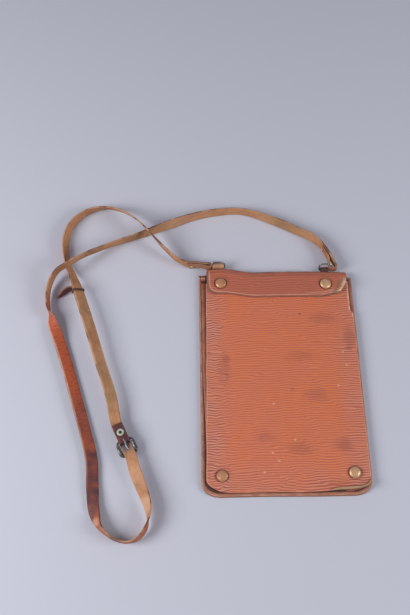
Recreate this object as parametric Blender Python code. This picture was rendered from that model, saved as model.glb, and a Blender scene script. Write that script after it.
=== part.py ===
# Map case with shoulder strap, lying on its back. Lengths here are millimetres.
# The case's back lies on z = 0, its flap is toward +Y and its front faces +Z.
import math

import bmesh
import bpy
from mathutils import Matrix, Vector

MM = 0.001
GAP = 0.3
UP = Vector((0.0, 0.0, 1.0))

# Case body, layer by layer from the floor
BODY_WIDTH = 190.0
BODY_LENGTH = 280.0
CORNER_RADIUS = 18.0
CORNER_ROWS = 6
BACK_THICK = 1.8
WELT_THICK = 1.6
WELT_WIDE = 8.0
POCKET_THICK = 1.4
COVER_THICK = 1.6
WELT_LOW = BACK_THICK + GAP
POCKET_LOW = WELT_LOW + WELT_THICK + GAP
COVER_LOW = POCKET_LOW + POCKET_THICK + GAP
FLAP_LOW = COVER_LOW + COVER_THICK + GAP

# The front stands up in a low pillow between the sewn edges
PILLOW_HIGH = 3.6
PILLOW_HALF_WIDTH = 92.0
PILLOW_START = 6.0
PILLOW_RUN = 54.0

# The rim steps in from the back's edge
WELT_STEP = 1.4
WELT_TOP = 134.0
POCKET_STEP = 2.7
POCKET_TOP = 132.0
COVER_TOP = 130.0
COVER_BOTTOM = -137.0
COVER_LEFT = (-88.0, -91.0)
COVER_RIGHT = (91.0, 92.8)
COVER_CORNER = 16.5
COVER_LIFT = 4.5
COVER_LIFT_LEFT = 20.0
COVER_LIFT_RUN = 45.0
COVER_LIFT_TOP = -123.0
COVER_LIFT_DROP = 14.0
COVER_ROWS = 13
POCKET_ROWS = 9
POCKET_COLUMNS = 14

# Fold over the top edge, and the flap
BACK_SIDE_TOP = 136.4
FOLD_CENTRE = 137.0
FOLD_PUFF = 4.0
FOLD_PUFF_RIGHT = -30.0
FOLD_PUFF_RUN = 35.0
FOLD_STEPS = 8
FLAP_ROWS = 6
FLAP_LEFT = -84.5
FLAP_RIGHT = (91.0, 77.0)
FLAP_EDGE_MIDDLE = 109.5
FLAP_EDGE_RISE = 4.5
FLAP_EDGE_HALF = 75.0
FLAP_DROP = 26.0
FLAP_CORNER = 8.0
FLAP_CURL = 3.5
FLAP_CURL_RUN = 9.0
SHEET_COLUMNS = 20

# Press studs: name, x, y, and whether the stud is on the flap
CAP_RADIUS = 7.0
CAP_GAP = 0.5
CAP_SIDES = 20
POST_RADIUS = 2.0
# The cap's outline above its gap: inset from its radius, height
CAP_OUTLINE = ((0.6, 0.0), (0.0, 0.5), (0.5, 1.2), (2.2, 2.1), (5.0, 2.6))
HOLE_SPARE = 2.0
SNAPS = (
    ("snap_upper_left", -68.0, 127.0, True),
    ("snap_upper_right", 64.0, 124.5, True),
    ("snap_lower_left", -74.0, -116.0, False),
    ("snap_lower_right", 77.0, -115.0, False),
)

# Strap rings, stirrup shaped, standing behind the fold
RING_WIDE = 18.0
RING_TALL = 15.0
RING_WIRE = 1.0
RING_TOP_CORNER = 6.0
RING_FOOT_CORNER = 2.0
RING_FOOT_HIGH = 3.2
RING_LEAN = 6.0
CHAPE_WIDE = 9.2
CHAPE_THICK = 1.5
CHAPE_CORNER = 2.4
# name, ring x, ring y, chape x, chape's near and far y, chape's top
RINGS = (
    ("left", -72.5, 150.5, -70.5, 146.9, 154.5, 10.8),
    ("right", 66.0, 148.0, 64.6, 143.1, 150.9, 6.1),
)

# Strap
STRAP_WIDE = 13.0
STRAP_THICK = 2.0
STRAP_STEP = 7.0
STRAP_PAIR = 2.5
STRAP_POINT = 1.6

# Buckle, seen from the strap's flesh side: along is measured down the strap from the heel bar
BUCKLE_AT = Vector((-187.0, -72.0, 0.0))
BUCKLE_HEADING = math.radians(-66.0)
BUCKLE_WIDE = 18.0
BUCKLE_LONG = 16.5
BUCKLE_BAR = 1.2
BUCKLE_CORNER = 3.0
HEEL_HIGH = 11.0
FRONT_HIGH = 8.5
HEEL_WRAP = 2.5
PRONG_RADIUS = 0.8
PRONG_STEPS = 8
PRONG_HOLE_GAP = 0.4
PRONG_SLOT = 3.0
PRONG_SLOT_REACH = 5.0
PRONG_SLOT_HEIGHTS = (6.6, 16.0)
PRONG_MIDDLE = (8.5, 9.2)
PRONG_TIP = (18.0, 5.2)
PRONG_TURN = (230.0, 63.0)
EYELET_ALONG = -10.0
EYELET_FLANGE = 4.3
EYELET_TUBE = 2.2
EYELET_HOLE = 1.4
EYELET_GAP = 0.4
# The eyelet's outline over the leather: inset from the flange, height
EYELET_OUTLINE = ((0.0, 0.0), (0.3, 0.5), (1.4, 0.9), (2.9, 0.4))
KEEPER_WIDE = 3.0
KEEPER_THICK = 1.1
KEEPER_ROOM = 0.4
KEEPER_CORNER = 1.2
RIVET_HEAD = 2.3
RIVET_SHANK = 1.0
RIVET_SIDES = 12
RIVET_EDGE = 0.4
RIVET_CROWN = 0.9
RIVET_CROWN_INSET = 0.8
# Rivets through the turned ends: name, the near layer's x and y, the far layer's
RIVETS = (
    ("strap_rivet_right", (69.0, 178.0), (72.0, 178.0)),
    ("strap_rivet_left", (-104.0, 154.0), (-104.0, 157.0)),
)
RIVET_NEAR_ROWS = (0, 4)
RIVET_FAR_ROWS = (12, 30)

# The long strap from its turned end at the right ring to the buckle.
# x, y, z of the middle line, lean in degrees about the run (0 is flesh side up), width
STRAP_LONG = (
    (68.5, 182.0, 7.2, -90, 12.0),
    (70.6, 171.0, 7.8, -90, 11.0),
    (71.0, 160.0, 8.8, -90, 9.0),
    (70.7, 152.0, 8.9, -90, 8.6),
    (70.7, 148.4, 8.9, -90, 8.6),
    (73.8, 145.1, 8.9, -90, 8.6),
    (76.9, 148.4, 8.9, -90, 8.6),
    (76.8, 154.0, 8.9, -90, 8.6),
    (75.2, 162.0, 8.6, -90, 9.5),
    (73.3, 171.0, 7.8, -90, 11.5),
    (71.2, 182.0, 7.1, -90, 13.0),
    (62.0, 196.0, 7.0, -90, 13.0),
    (38.0, 209.0, 7.0, -80, 13.0),
    (0.0, 227.0, 7.0, -85, 13.0),
    (-39.0, 238.5, 7.0, -88, 13.0),
    (-72.0, 236.0, 7.0, -83, 13.0),
    (-105.0, 228.0, 6.8, -76, 13.0),
    (-132.0, 218.5, 6.4, -62, 13.0),
    (-151.0, 211.0, 6.8, -80, 13.0),
    (-162.0, 206.5, 6.9, -84, 13.0),
    (-171.0, 203.0, 6.9, -88, 13.0),
    (-196.0, 194.0, 7.5, -95, 13.0),
    (-221.0, 182.0, 11.5, -102, 13.0),
    (-244.0, 168.0, 17.5, -106, 13.0),
    (-260.0, 155.5, 21.5, -105, 13.0),
    (-273.0, 149.0, 18.0, -107, 13.0),
    (-283.0, 135.5, 11.5, -113, 13.0),
    (-286.0, 112.0, 7.5, -120, 13.0),
    (-281.0, 85.0, 6.4, -125, 13.0),
    (-273.0, 58.0, 5.2, -140, 13.0),
    (-261.0, 25.5, 4.2, -150, 13.0),
    (-244.0, -19.0, 3.8, -154, 13.0),
    (-233.0, -57.0, 3.8, -155, 13.0),
    (-225.0, -93.0, 3.4, -160, 13.0),
    (-223.0, -128.0, 3.2, -162, 13.0),
    (-219.0, -160.0, 4.0, -155, 13.0),
    (-212.0, -173.0, 6.5, -130, 13.0),
    (-195.0, -185.5, 7.2, -98, 13.0),
    (-184.0, -189.0, 7.2, -82, 13.0),
    (-167.0, -183.0, 8.0, -68, 13.0),
    (-156.0, -169.0, 9.0, -68, 13.0),
    (-154.0, -153.0, 9.5, -70, 13.0),
    (-159.0, -130.0, 10.0, -58, 13.0),
    (-170.0, -107.0, 10.8, -28, 13.0),
)

# The long strap through the buckle: along, height
LONG_THROUGH_BUCKLE = ((20.0, 11.3), (16.5, 11.0), (10.0, 9.6), (6.0, 8.3), (3.0, 7.0), (0.0, 6.1))

# The long strap's tip, out past the keeper and down to the floor
LONG_TIP = (
    (-249.0, 126.5, 11.3, 40, 13.0),
    (-253.0, 129.5, 9.0, 58, 13.0),
    (-259.0, 128.5, 7.2, 80, 13.0),
    (-266.0, 124.5, 6.2, 92, 11.0),
    (-271.5, 121.0, 4.4, 97, 7.0),
    (-275.5, 118.0, 2.2, 100, STRAP_POINT),
)

# The short strap from its turned end at the left ring to the buckle
STRAP_SHORT = (
    (-108.0, 154.6, 7.4, -90, 12.0),
    (-100.0, 154.0, 8.2, -90, 10.5),
    (-92.0, 152.2, 8.9, -90, 8.6),
    (-85.0, 149.0, 8.9, -90, 8.6),
    (-80.0, 148.3, 8.9, -90, 8.6),
    (-76.8, 151.6, 8.9, -90, 8.6),
    (-80.0, 154.8, 8.9, -90, 8.6),
    (-85.0, 155.2, 8.9, -90, 8.6),
    (-92.0, 155.7, 9.0, -90, 9.5),
    (-100.0, 156.9, 8.0, -90, 11.5),
    (-108.0, 157.6, 7.3, -90, 13.0),
    (-119.0, 162.0, 9.0, -90, 13.0),
    (-138.0, 175.5, 14.5, -93, 13.0),
    (-151.0, 186.5, 19.0, -98, 13.0),
    (-162.0, 199.5, 21.5, -100, 13.0),
    (-170.0, 210.0, 21.2, -100, 13.0),
    (-177.0, 219.5, 19.0, -100, 13.0),
    (-197.0, 236.5, 12.5, -100, 13.0),
    (-217.0, 244.5, 8.0, -97, 13.0),
    (-231.0, 243.5, 7.0, -93, 13.0),
    (-247.0, 235.0, 6.8, -83, 13.0),
    (-260.0, 220.0, 6.8, -72, 13.0),
    (-266.0, 201.0, 6.7, -70, 13.0),
    (-266.0, 183.0, 6.6, -66, 13.0),
    (-262.0, 163.0, 6.6, -62, 13.0),
    (-255.0, 145.0, 9.5, -48, 13.0),
    (-246.0, 121.0, 15.0, -33, 13.0),
    (-241.0, 106.0, 16.5, -28, 13.0),
    (-230.0, 78.0, 17.0, -25, 13.0),
    (-216.0, 26.0, 15.0, -25, 13.0),
    (-203.0, -23.0, 13.0, -15, 13.0),
)
KEEPER_ROW = 26

# The short strap up to the heel bar, and back over it as the turned end: along, height
SHORT_TO_BUCKLE = ((-22.0, 10.6), (-10.0, 9.4), (-4.0, 8.6), (0.0, 8.5))
SHORT_TURNED = ((-4.0, 12.8), (-6.0, 12.2), (-15.0, 12.2), (-21.0, 12.9))
TURN_STEPS = 6


def smooth(value):
    value = min(1.0, max(0.0, value))
    return value * value * (3.0 - 2.0 * value)


def blend(pair, share):
    return pair[0] + (pair[1] - pair[0]) * share


def clear_scene():
    for item in list(bpy.data.objects):
        bpy.data.objects.remove(item, do_unlink=True)


def make_material(name, colour, roughness, metallic):
    made = bpy.data.materials.new(name)
    made.use_nodes = True
    shader = made.node_tree.nodes["Principled BSDF"]
    shader.inputs["Base Color"].default_value = (*colour, 1.0)
    shader.inputs["Roughness"].default_value = roughness
    shader.inputs["Metallic"].default_value = metallic
    return made


def finish_mesh(name, mesh_data, material, sharp=math.radians(50.0)):
    bmesh.ops.recalc_face_normals(mesh_data, faces=mesh_data.faces)
    mesh = bpy.data.meshes.new(name)
    mesh_data.to_mesh(mesh)
    mesh_data.free()
    mesh.materials.append(material)
    mesh.shade_smooth()
    mesh.set_sharp_from_angle(angle=sharp)
    item = bpy.data.objects.new(name, mesh)
    bpy.context.scene.collection.objects.link(item)
    return item


def join_rings(mesh_data, rings, closed=False):
    # Skins a row of equal rings of points, with flat ends unless it closes on itself
    made = [[mesh_data.verts.new(point * MM) for point in ring] for ring in rings]
    count = len(made[0])
    pairs = list(zip(made, made[1:]))
    if closed:
        pairs.append((made[-1], made[0]))
    for near, far in pairs:
        for index in range(count):
            after = (index + 1) % count
            mesh_data.faces.new((near[index], near[after], far[after], far[index]))
    if not closed:
        mesh_data.faces.new(made[0])
        mesh_data.faces.new(made[-1])


def make_sheet(name, outer_rows, inner_rows, material):
    # Skins both faces and the edge of a sheet, as quads across its rows
    mesh_data = bmesh.new()
    outer = [[mesh_data.verts.new(point * MM) for point in row] for row in outer_rows]
    inner = [[mesh_data.verts.new(point * MM) for point in row] for row in inner_rows]
    columns = len(outer[0])
    for row in range(len(outer) - 1):
        for column in range(columns - 1):
            for grid in (outer, inner):
                near = (grid[row][column], grid[row][column + 1])
                far = (grid[row + 1][column + 1], grid[row + 1][column])
                mesh_data.faces.new(near + far)
        for column in (0, columns - 1):
            near = (outer[row][column], outer[row + 1][column])
            mesh_data.faces.new(near + (inner[row + 1][column], inner[row][column]))
    for row in (0, len(outer) - 1):
        for column in range(columns - 1):
            near = (outer[row][column], outer[row][column + 1])
            mesh_data.faces.new(near + (inner[row][column + 1], inner[row][column]))
    return finish_mesh(name, mesh_data, material)


def cut_away(item, cutter):
    cutter.hide_render = True
    cutter.display_type = "WIRE"
    cut = item.modifiers.new("Cut", "BOOLEAN")
    cut.operation = "DIFFERENCE"
    cut.object = cutter


# Case body

def corner_inset(rise, radius):
    if rise >= radius:
        return 0.0
    return radius - math.sqrt(max(0.0, radius * radius - (radius - rise) ** 2))


def panel_rows(low, radius, top, straight_rows):
    turns = [math.pi / 2 * step / CORNER_ROWS for step in range(CORNER_ROWS)]
    corner = [low + radius * (1.0 - math.cos(turn)) for turn in turns]
    start = low + radius
    return corner + [start + (top - start) * step / straight_rows for step in range(straight_rows + 1)]


def pillow(x, y):
    across = max(0.0, 1.0 - (x / PILLOW_HALF_WIDTH) ** 2)
    return PILLOW_HIGH * across * smooth((y + BODY_LENGTH / 2 - PILLOW_START) / PILLOW_RUN)


def columns_between(left, right, count=SHEET_COLUMNS):
    return [left + (right - left) * step / count for step in range(count + 1)]


def fold_puff(x):
    # The fold bulges outward over the left ring's chape
    return FOLD_PUFF * smooth((FOLD_PUFF_RIGHT - x) / FOLD_PUFF_RUN)


def flap_right_curl(x, share):
    # The torn right end of the flap rolls up
    edge = blend(FLAP_RIGHT, share)
    return FLAP_CURL * smooth(1.0 - (edge - x) / FLAP_CURL_RUN) * smooth(share * 2.0)


def flap_point(x_share, share, height):
    # A point of the flap's face: share 0 at the fold, 1 at the lower edge
    left = FLAP_LEFT + corner_inset((1.0 - share) * FLAP_DROP, FLAP_CORNER)
    x = left + (blend(FLAP_RIGHT, share) - left) * x_share
    low = FLAP_EDGE_MIDDLE + FLAP_EDGE_RISE * (x / FLAP_EDGE_HALF) ** 2
    start = FOLD_CENTRE + fold_puff(x)
    y = start + (low - start) * share
    return Vector((x, y, FLAP_LOW + height + pillow(x, y) + flap_right_curl(x, share)))


def make_back_and_flap(leather):
    outer_rows = []
    inner_rows = []
    half = BODY_WIDTH / 2
    low = -BODY_LENGTH / 2
    for y in panel_rows(low, CORNER_RADIUS, BACK_SIDE_TOP, 3):
        reach = half - corner_inset(y - low, CORNER_RADIUS)
        outer_rows.append([Vector((x, y, 0.0)) for x in columns_between(-reach, reach)])
        inner_rows.append([Vector((x, y, BACK_THICK)) for x in columns_between(-reach, reach)])
    for step in range(FOLD_STEPS):
        angle = math.pi * step / FOLD_STEPS
        outer_rows.append([])
        inner_rows.append([])
        for x in columns_between(FLAP_LEFT, FLAP_RIGHT[0]):
            radius = (FLAP_LOW + pillow(x, FOLD_CENTRE)) / 2
            direction = Vector((0.0, math.sin(angle), -math.cos(angle)))
            middle = Vector((x, FOLD_CENTRE + fold_puff(x), BACK_THICK / 2 + radius))
            outer_rows[-1].append(middle + direction * (radius + BACK_THICK / 2))
            inner_rows[-1].append(middle + direction * (radius - BACK_THICK / 2))
    for row in range(FLAP_ROWS + 1):
        share = row / FLAP_ROWS
        shares = columns_between(0.0, 1.0)
        outer_rows.append([flap_point(x_share, share, BACK_THICK) for x_share in shares])
        inner_rows.append([flap_point(x_share, share, 0.0) for x_share in shares])
    return make_sheet("back_and_flap", outer_rows, inner_rows, leather)


def make_edge_welt(leather):
    # One U-shaped strip, as a row of flat cross sections from the left top round to the right top
    outer_half = BODY_WIDTH / 2 - WELT_STEP
    radius = CORNER_RADIUS - WELT_STEP
    low = -BODY_LENGTH / 2 + WELT_STEP
    stations = [(Vector((-outer_half, WELT_TOP, 0.0)), Vector((1.0, 0.0, 0.0)))]
    for side in (-1.0, 1.0):
        centre = Vector((side * (outer_half - radius), low + radius, 0.0))
        for step in range(CORNER_ROWS + 1):
            turn = math.pi / 2 * step / CORNER_ROWS
            angle = turn if side < 0 else math.pi / 2 - turn
            outward = Vector((side * math.cos(angle), -math.sin(angle), 0.0))
            stations.append((centre + outward * radius, -outward))
    stations.append((Vector((outer_half, WELT_TOP, 0.0)), Vector((-1.0, 0.0, 0.0))))
    rings = []
    for point, inward in stations:
        base = point + UP * WELT_LOW
        top = UP * WELT_THICK
        rings.append([base, base + inward * WELT_WIDE, base + inward * WELT_WIDE + top, base + top])
    mesh_data = bmesh.new()
    join_rings(mesh_data, rings)
    return finish_mesh("edge_welt", mesh_data, leather)


def make_pocket_front(leather):
    half = BODY_WIDTH / 2 - POCKET_STEP
    low = -BODY_LENGTH / 2 + POCKET_STEP
    radius = CORNER_RADIUS - POCKET_STEP
    outer_rows = []
    inner_rows = []
    for y in panel_rows(low, radius, POCKET_TOP, POCKET_ROWS):
        reach = half - corner_inset(y - low, radius)
        xs = columns_between(-reach, reach, POCKET_COLUMNS)
        inner_rows.append([Vector((x, y, POCKET_LOW + pillow(x, y))) for x in xs])
        outer_rows.append([point + UP * POCKET_THICK for point in inner_rows[-1]])
    return make_sheet("pocket_front", outer_rows, inner_rows, leather)


def cover_low_point(x, y):
    # The cover's under face: it follows the pocket and lifts at its lower right corner
    along = smooth((x - COVER_LIFT_LEFT) / COVER_LIFT_RUN)
    lift = COVER_LIFT * along * smooth((COVER_LIFT_TOP - y) / COVER_LIFT_DROP)
    return Vector((x, y, COVER_LOW + pillow(x, y) + lift))


def make_front_cover(leather):
    outer_rows = []
    inner_rows = []
    for y in panel_rows(COVER_BOTTOM, COVER_CORNER, COVER_TOP, COVER_ROWS):
        share = (COVER_TOP - y) / (COVER_TOP - COVER_BOTTOM)
        inset = corner_inset(y - COVER_BOTTOM, COVER_CORNER)
        xs = columns_between(blend(COVER_LEFT, share) + inset, blend(COVER_RIGHT, share) - inset)
        inner_rows.append([cover_low_point(x, y) for x in xs])
        outer_rows.append([point + UP * COVER_THICK for point in inner_rows[-1]])
    return make_sheet("front_cover", outer_rows, inner_rows, leather)


def leather_top(x, y, on_flap):
    # Height of the leather's upper face under a stud
    if on_flap:
        return FLAP_LOW + BACK_THICK + pillow(x, y)
    return COVER_LOW + COVER_THICK + pillow(x, y)


def stud_frame(x, y, on_flap):
    # The stud's axis stands square on the leather
    reach = CAP_RADIUS
    slope_x = (leather_top(x + reach, y, on_flap) - leather_top(x - reach, y, on_flap)) / (2 * reach)
    slope_y = (leather_top(x, y + reach, on_flap) - leather_top(x, y - reach, on_flap)) / (2 * reach)
    axis = Vector((-slope_x, -slope_y, 1.0)).normalized()
    turn = UP.rotation_difference(axis).to_matrix().to_4x4()
    return Matrix.Translation(Vector((x, y, leather_top(x, y, on_flap)))) @ turn


def turned_rings(profile, sides, frame):
    rings = []
    for radius, height in profile:
        ring = []
        for side in range(sides):
            angle = 2 * math.pi * side / sides
            ring.append(frame @ Vector((radius * math.cos(angle), radius * math.sin(angle), height)))
        rings.append(ring)
    return rings


def make_turned(name, profile, sides, frame, material):
    mesh_data = bmesh.new()
    join_rings(mesh_data, turned_rings(profile, sides, frame))
    return finish_mesh(name, mesh_data, material)


def make_snaps(brass, sheets):
    for name, x, y, on_flap in SNAPS:
        frame = stud_frame(x, y, on_flap)
        thick = BACK_THICK if on_flap else COVER_THICK
        profile = [(POST_RADIUS, -thick), (POST_RADIUS, CAP_GAP)]
        profile += [(CAP_RADIUS - inset, CAP_GAP + height) for inset, height in CAP_OUTLINE]
        make_turned(name, profile, CAP_SIDES, frame, brass)
        hole = ((POST_RADIUS + GAP, -thick - HOLE_SPARE), (POST_RADIUS + GAP, HOLE_SPARE))
        cutter = make_turned(name + "_hole", hole, CAP_SIDES, frame, brass)
        cut_away(sheets[on_flap], cutter)


# Wires and strap rings

def rounded_loop(wide, tall, foot_corner, top_corner, arc_steps=4):
    # A closed outline with its foot at height 0, as (across, height)
    corners = (
        (wide / 2 - foot_corner, foot_corner, foot_corner, -90.0),
        (wide / 2 - top_corner, tall - top_corner, top_corner, 0.0),
        (-wide / 2 + top_corner, tall - top_corner, top_corner, 90.0),
        (-wide / 2 + foot_corner, foot_corner, foot_corner, 180.0),
    )
    points = []
    for across, height, radius, start in corners:
        for step in range(arc_steps + 1):
            angle = math.radians(start + 90.0 * step / arc_steps)
            points.append((across + radius * math.cos(angle), height + radius * math.sin(angle)))
    return points


def wire_rings(points, normal, radius, closed, sides=8):
    # Sections of a round wire whose middle line lies in one plane
    count = len(points)
    rings = []
    for index, point in enumerate(points):
        before = points[index - 1] if closed or index else point
        after = points[(index + 1) % count] if closed or index < count - 1 else point
        tangent = (after - before).normalized()
        across = tangent.cross(normal).normalized()
        ring = []
        for side in range(sides):
            angle = 2 * math.pi * (side + 0.5) / sides
            ring.append(point + (across * math.cos(angle) + normal * math.sin(angle)) * radius)
        rings.append(ring)
    return rings


def make_wire(name, points, normal, radius, closed, material):
    mesh_data = bmesh.new()
    join_rings(mesh_data, wire_rings(points, normal, radius, closed), closed)
    return finish_mesh(name, mesh_data, material)


def make_rings_and_chapes(iron, leather):
    lean = math.radians(RING_LEAN)
    rise = Vector((0.0, math.sin(lean), math.cos(lean)))
    side = Vector((1.0, 0.0, 0.0))
    wide = RING_WIDE - 2 * RING_WIRE
    tall = RING_TALL - 2 * RING_WIRE
    loop = rounded_loop(wide, tall, RING_FOOT_CORNER, RING_TOP_CORNER)
    for name, x, y, chape_x, near, far, top in RINGS:
        foot = Vector((x, y, RING_FOOT_HIGH))
        points = [foot + side * across + rise * height for across, height in loop]
        make_wire("ring_" + name, points, side.cross(rise), RING_WIRE, True, iron)
        make_chape("chape_" + name, chape_x, near, far, top, leather)


def make_chape(name, x, near, far, top, leather):
    # A flat loop of leather from the fold round the ring's foot
    middle = (near + far) / 2
    outer = rounded_loop(far - near, top - GAP, CHAPE_CORNER, CHAPE_CORNER, 3)
    inner_corner = CHAPE_CORNER - CHAPE_THICK
    inner_wide = far - near - 2 * CHAPE_THICK
    inner_tall = top - GAP - 2 * CHAPE_THICK
    inner = rounded_loop(inner_wide, inner_tall, inner_corner, inner_corner, 3)
    rings = []
    for outside, inside in zip(outer, inner):
        ring = []
        inside = (inside[0], inside[1] + CHAPE_THICK)
        for spot, shift in ((outside, -0.5), (outside, 0.5), (inside, 0.5), (inside, -0.5)):
            ring.append(Vector((x + shift * CHAPE_WIDE, middle + spot[0], GAP + spot[1])))
        rings.append(ring)
    mesh_data = bmesh.new()
    join_rings(mesh_data, rings, closed=True)
    return finish_mesh(name, mesh_data, leather)


# Straps

def smooth_rows(rows):
    # Reads a smooth curve through the rows, every column at once
    values = [Vector(row[:3]) for row in rows]
    places = [0.0]
    for near, far in zip(values, values[1:]):
        places.append(places[-1] + (far - near).length)
    columns = len(rows[0])
    slopes = []
    for index in range(len(rows)):
        before = max(0, index - 1)
        after = min(len(rows) - 1, index + 1)
        if before == index or after == index:
            run = places[after] - places[before]
            slopes.append([(rows[after][c] - rows[before][c]) / run for c in range(columns)])
            continue
        back = places[index] - places[before]
        ahead = places[after] - places[index]
        slope = []
        for c in range(columns):
            first = (rows[index][c] - rows[before][c]) / back
            second = (rows[after][c] - rows[index][c]) / ahead
            slope.append((first * ahead + second * back) / (back + ahead))
        slopes.append(slope)
    made = []
    for index in range(len(rows) - 1):
        run = places[index + 1] - places[index]
        steps = max(2, round(run / STRAP_STEP))
        for step in range(steps):
            made.append(curve_row(rows, slopes, index, run, step / steps))
    made.append(tuple(rows[-1]))
    return made


def curve_row(rows, slopes, index, run, share):
    square = share * share
    cube = square * share
    start = 2 * cube - 3 * square + 1
    leave = cube - 2 * square + share
    arrive = cube - square
    row = []
    for c in range(len(rows[0])):
        ends = start * rows[index][c] + (1 - start) * rows[index + 1][c]
        pull = leave * slopes[index][c] + arrive * slopes[index + 1][c]
        row.append(ends + pull * run)
    return tuple(row)


def strap_sections(rows):
    # Middle, across, face and width of each section; the face is the flesh side
    points = [Vector(row[:3]) for row in rows]
    sections = []
    for index, row in enumerate(rows):
        before = points[max(0, index - 1)]
        after = points[min(len(points) - 1, index + 1)]
        run = (after - before).normalized()
        level = UP.cross(run).normalized()
        above = run.cross(level)
        lean = math.radians(row[3])
        across = level * math.cos(lean) + above * math.sin(lean)
        sections.append((points[index], across, run.cross(across), row[4]))
    return sections


def section_ring(section):
    point, across, face, wide = section
    half = wide / 2
    thick = STRAP_THICK / 2
    corners = ((-half, -thick), (half, -thick), (half, thick), (-half, thick))
    return [point + across * a + face * b for a, b in corners]


def make_strap(name, sections, leather):
    mesh_data = bmesh.new()
    join_rings(mesh_data, [section_ring(section) for section in sections])
    return finish_mesh(name, mesh_data, leather)


def buckle_axes():
    along = Vector((math.cos(BUCKLE_HEADING), math.sin(BUCKLE_HEADING), 0.0))
    return along, UP.cross(along)


def buckle_point(along, height, across=0.0):
    run, side = buckle_axes()
    return BUCKLE_AT + run * along + side * across + UP * height


def short_rows():
    rows = list(STRAP_SHORT)
    for along, height in SHORT_TO_BUCKLE:
        rows.append((*buckle_point(along, height), 0, STRAP_WIDE))
    return rows


def short_sections():
    sections = strap_sections(smooth_rows(short_rows()))
    side = buckle_axes()[1]
    turn = []
    for step in range(1, TURN_STEPS):
        angle = math.pi * step / TURN_STEPS
        turn.append((HEEL_WRAP * math.sin(angle), HEEL_HIGH - HEEL_WRAP * math.cos(angle)))
    turn.append((0.0, HEEL_HIGH + HEEL_WRAP))
    places = [buckle_point(along, height) for along, height in turn + list(SHORT_TURNED)]
    before = sections[-1][0]
    for index, place in enumerate(places):
        after = places[min(index + 1, len(places) - 1)]
        run = (after - before).normalized()
        sections.append((place, side, run.cross(side), STRAP_WIDE))
        before = place
    return sections


def pair_rows():
    # The long strap's end lies under the short strap, from the buckle back to the keeper
    rows = short_rows()
    sections = strap_sections(rows)
    paired = []
    for index in range(len(rows) - 3, KEEPER_ROW - 1, -1):
        point, across, face, wide = sections[index]
        paired.append((*(point - face * STRAP_PAIR), -rows[index][3], STRAP_WIDE))
    return paired


def long_rows():
    rows = list(STRAP_LONG)
    for along, height in LONG_THROUGH_BUCKLE:
        rows.append((*buckle_point(along, height), 0, STRAP_WIDE))
    return rows + pair_rows() + list(LONG_TIP)


def make_rivet(name, sections, near_place, far_place, strap, brass):
    # Closes the strap's turned end on its run, square through both layers
    index = nearest_section(sections, near_place, RIVET_NEAR_ROWS)
    other = nearest_section(sections, far_place, RIVET_FAR_ROWS)
    near, across, axis, wide = sections[index]
    apart = (sections[other][0] - near).dot(axis)
    reach = apart / 2 + STRAP_THICK / 2 + 2 * GAP
    turn = UP.rotation_difference(axis).to_matrix().to_4x4()
    frame = Matrix.Translation(near + axis * apart / 2) @ turn
    crown = RIVET_HEAD - RIVET_CROWN_INSET
    upper = (
        (RIVET_SHANK, reach),
        (RIVET_HEAD, reach),
        (RIVET_HEAD, reach + RIVET_EDGE),
        (crown, reach + RIVET_CROWN),
    )
    lower = tuple((radius, -height) for radius, height in reversed(upper))
    make_turned(name, lower + upper, RIVET_SIDES, frame, brass)
    hole = ((RIVET_SHANK + GAP, -reach - HOLE_SPARE), (RIVET_SHANK + GAP, reach + HOLE_SPARE))
    cut_away(strap, make_turned(name + "_hole", hole, RIVET_SIDES, frame, brass))


def nearest_section(sections, place, rows):
    spot = Vector(place)
    return min(range(*rows), key=lambda index: (sections[index][0].xy - spot).length)


# Buckle, eyelet and keeper

def make_buckle(iron, strap_long, strap_short):
    run, side = buckle_axes()
    drop = (FRONT_HIGH - HEEL_HIGH) / BUCKLE_LONG
    down = Vector((run.x, run.y, drop))
    heel = buckle_point(0.0, HEEL_HIGH)
    loop = rounded_loop(BUCKLE_WIDE, BUCKLE_LONG, BUCKLE_CORNER, BUCKLE_CORNER)
    points = [heel + side * across + down * along for across, along in loop]
    make_wire("buckle_frame", points, side.cross(down).normalized(), BUCKLE_BAR, True, iron)
    make_prong("buckle_prong", PRONG_RADIUS, iron)
    cutter = make_prong("prong_hole", PRONG_RADIUS + PRONG_HOLE_GAP, iron)
    cut_away(strap_long, cutter)
    slot = bmesh.new()
    half = PRONG_SLOT / 2
    low, high = PRONG_SLOT_HEIGHTS
    reach = PRONG_SLOT_REACH
    outline = ((-reach, low), (reach, low), (reach, high), (-reach, high))
    join_rings(slot, [[buckle_point(a, h, shift) for a, h in outline] for shift in (-half, half)])
    cut_away(strap_short, finish_mesh("prong_slot", slot, iron))


def make_prong(name, radius, iron):
    # Wraps the heel bar, then runs down through the strap to under the front bar
    wrap = BUCKLE_BAR + GAP + PRONG_RADIUS
    points = []
    for step in range(PRONG_STEPS + 1):
        angle = math.radians(blend(PRONG_TURN, step / PRONG_STEPS))
        height = HEEL_HIGH + wrap * math.sin(angle)
        points.append(buckle_point(wrap * math.cos(angle), height))
    points.append(buckle_point(*PRONG_MIDDLE))
    points.append(buckle_point(*PRONG_TIP))
    return make_wire(name, points, buckle_axes()[1], radius, False, iron)


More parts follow.
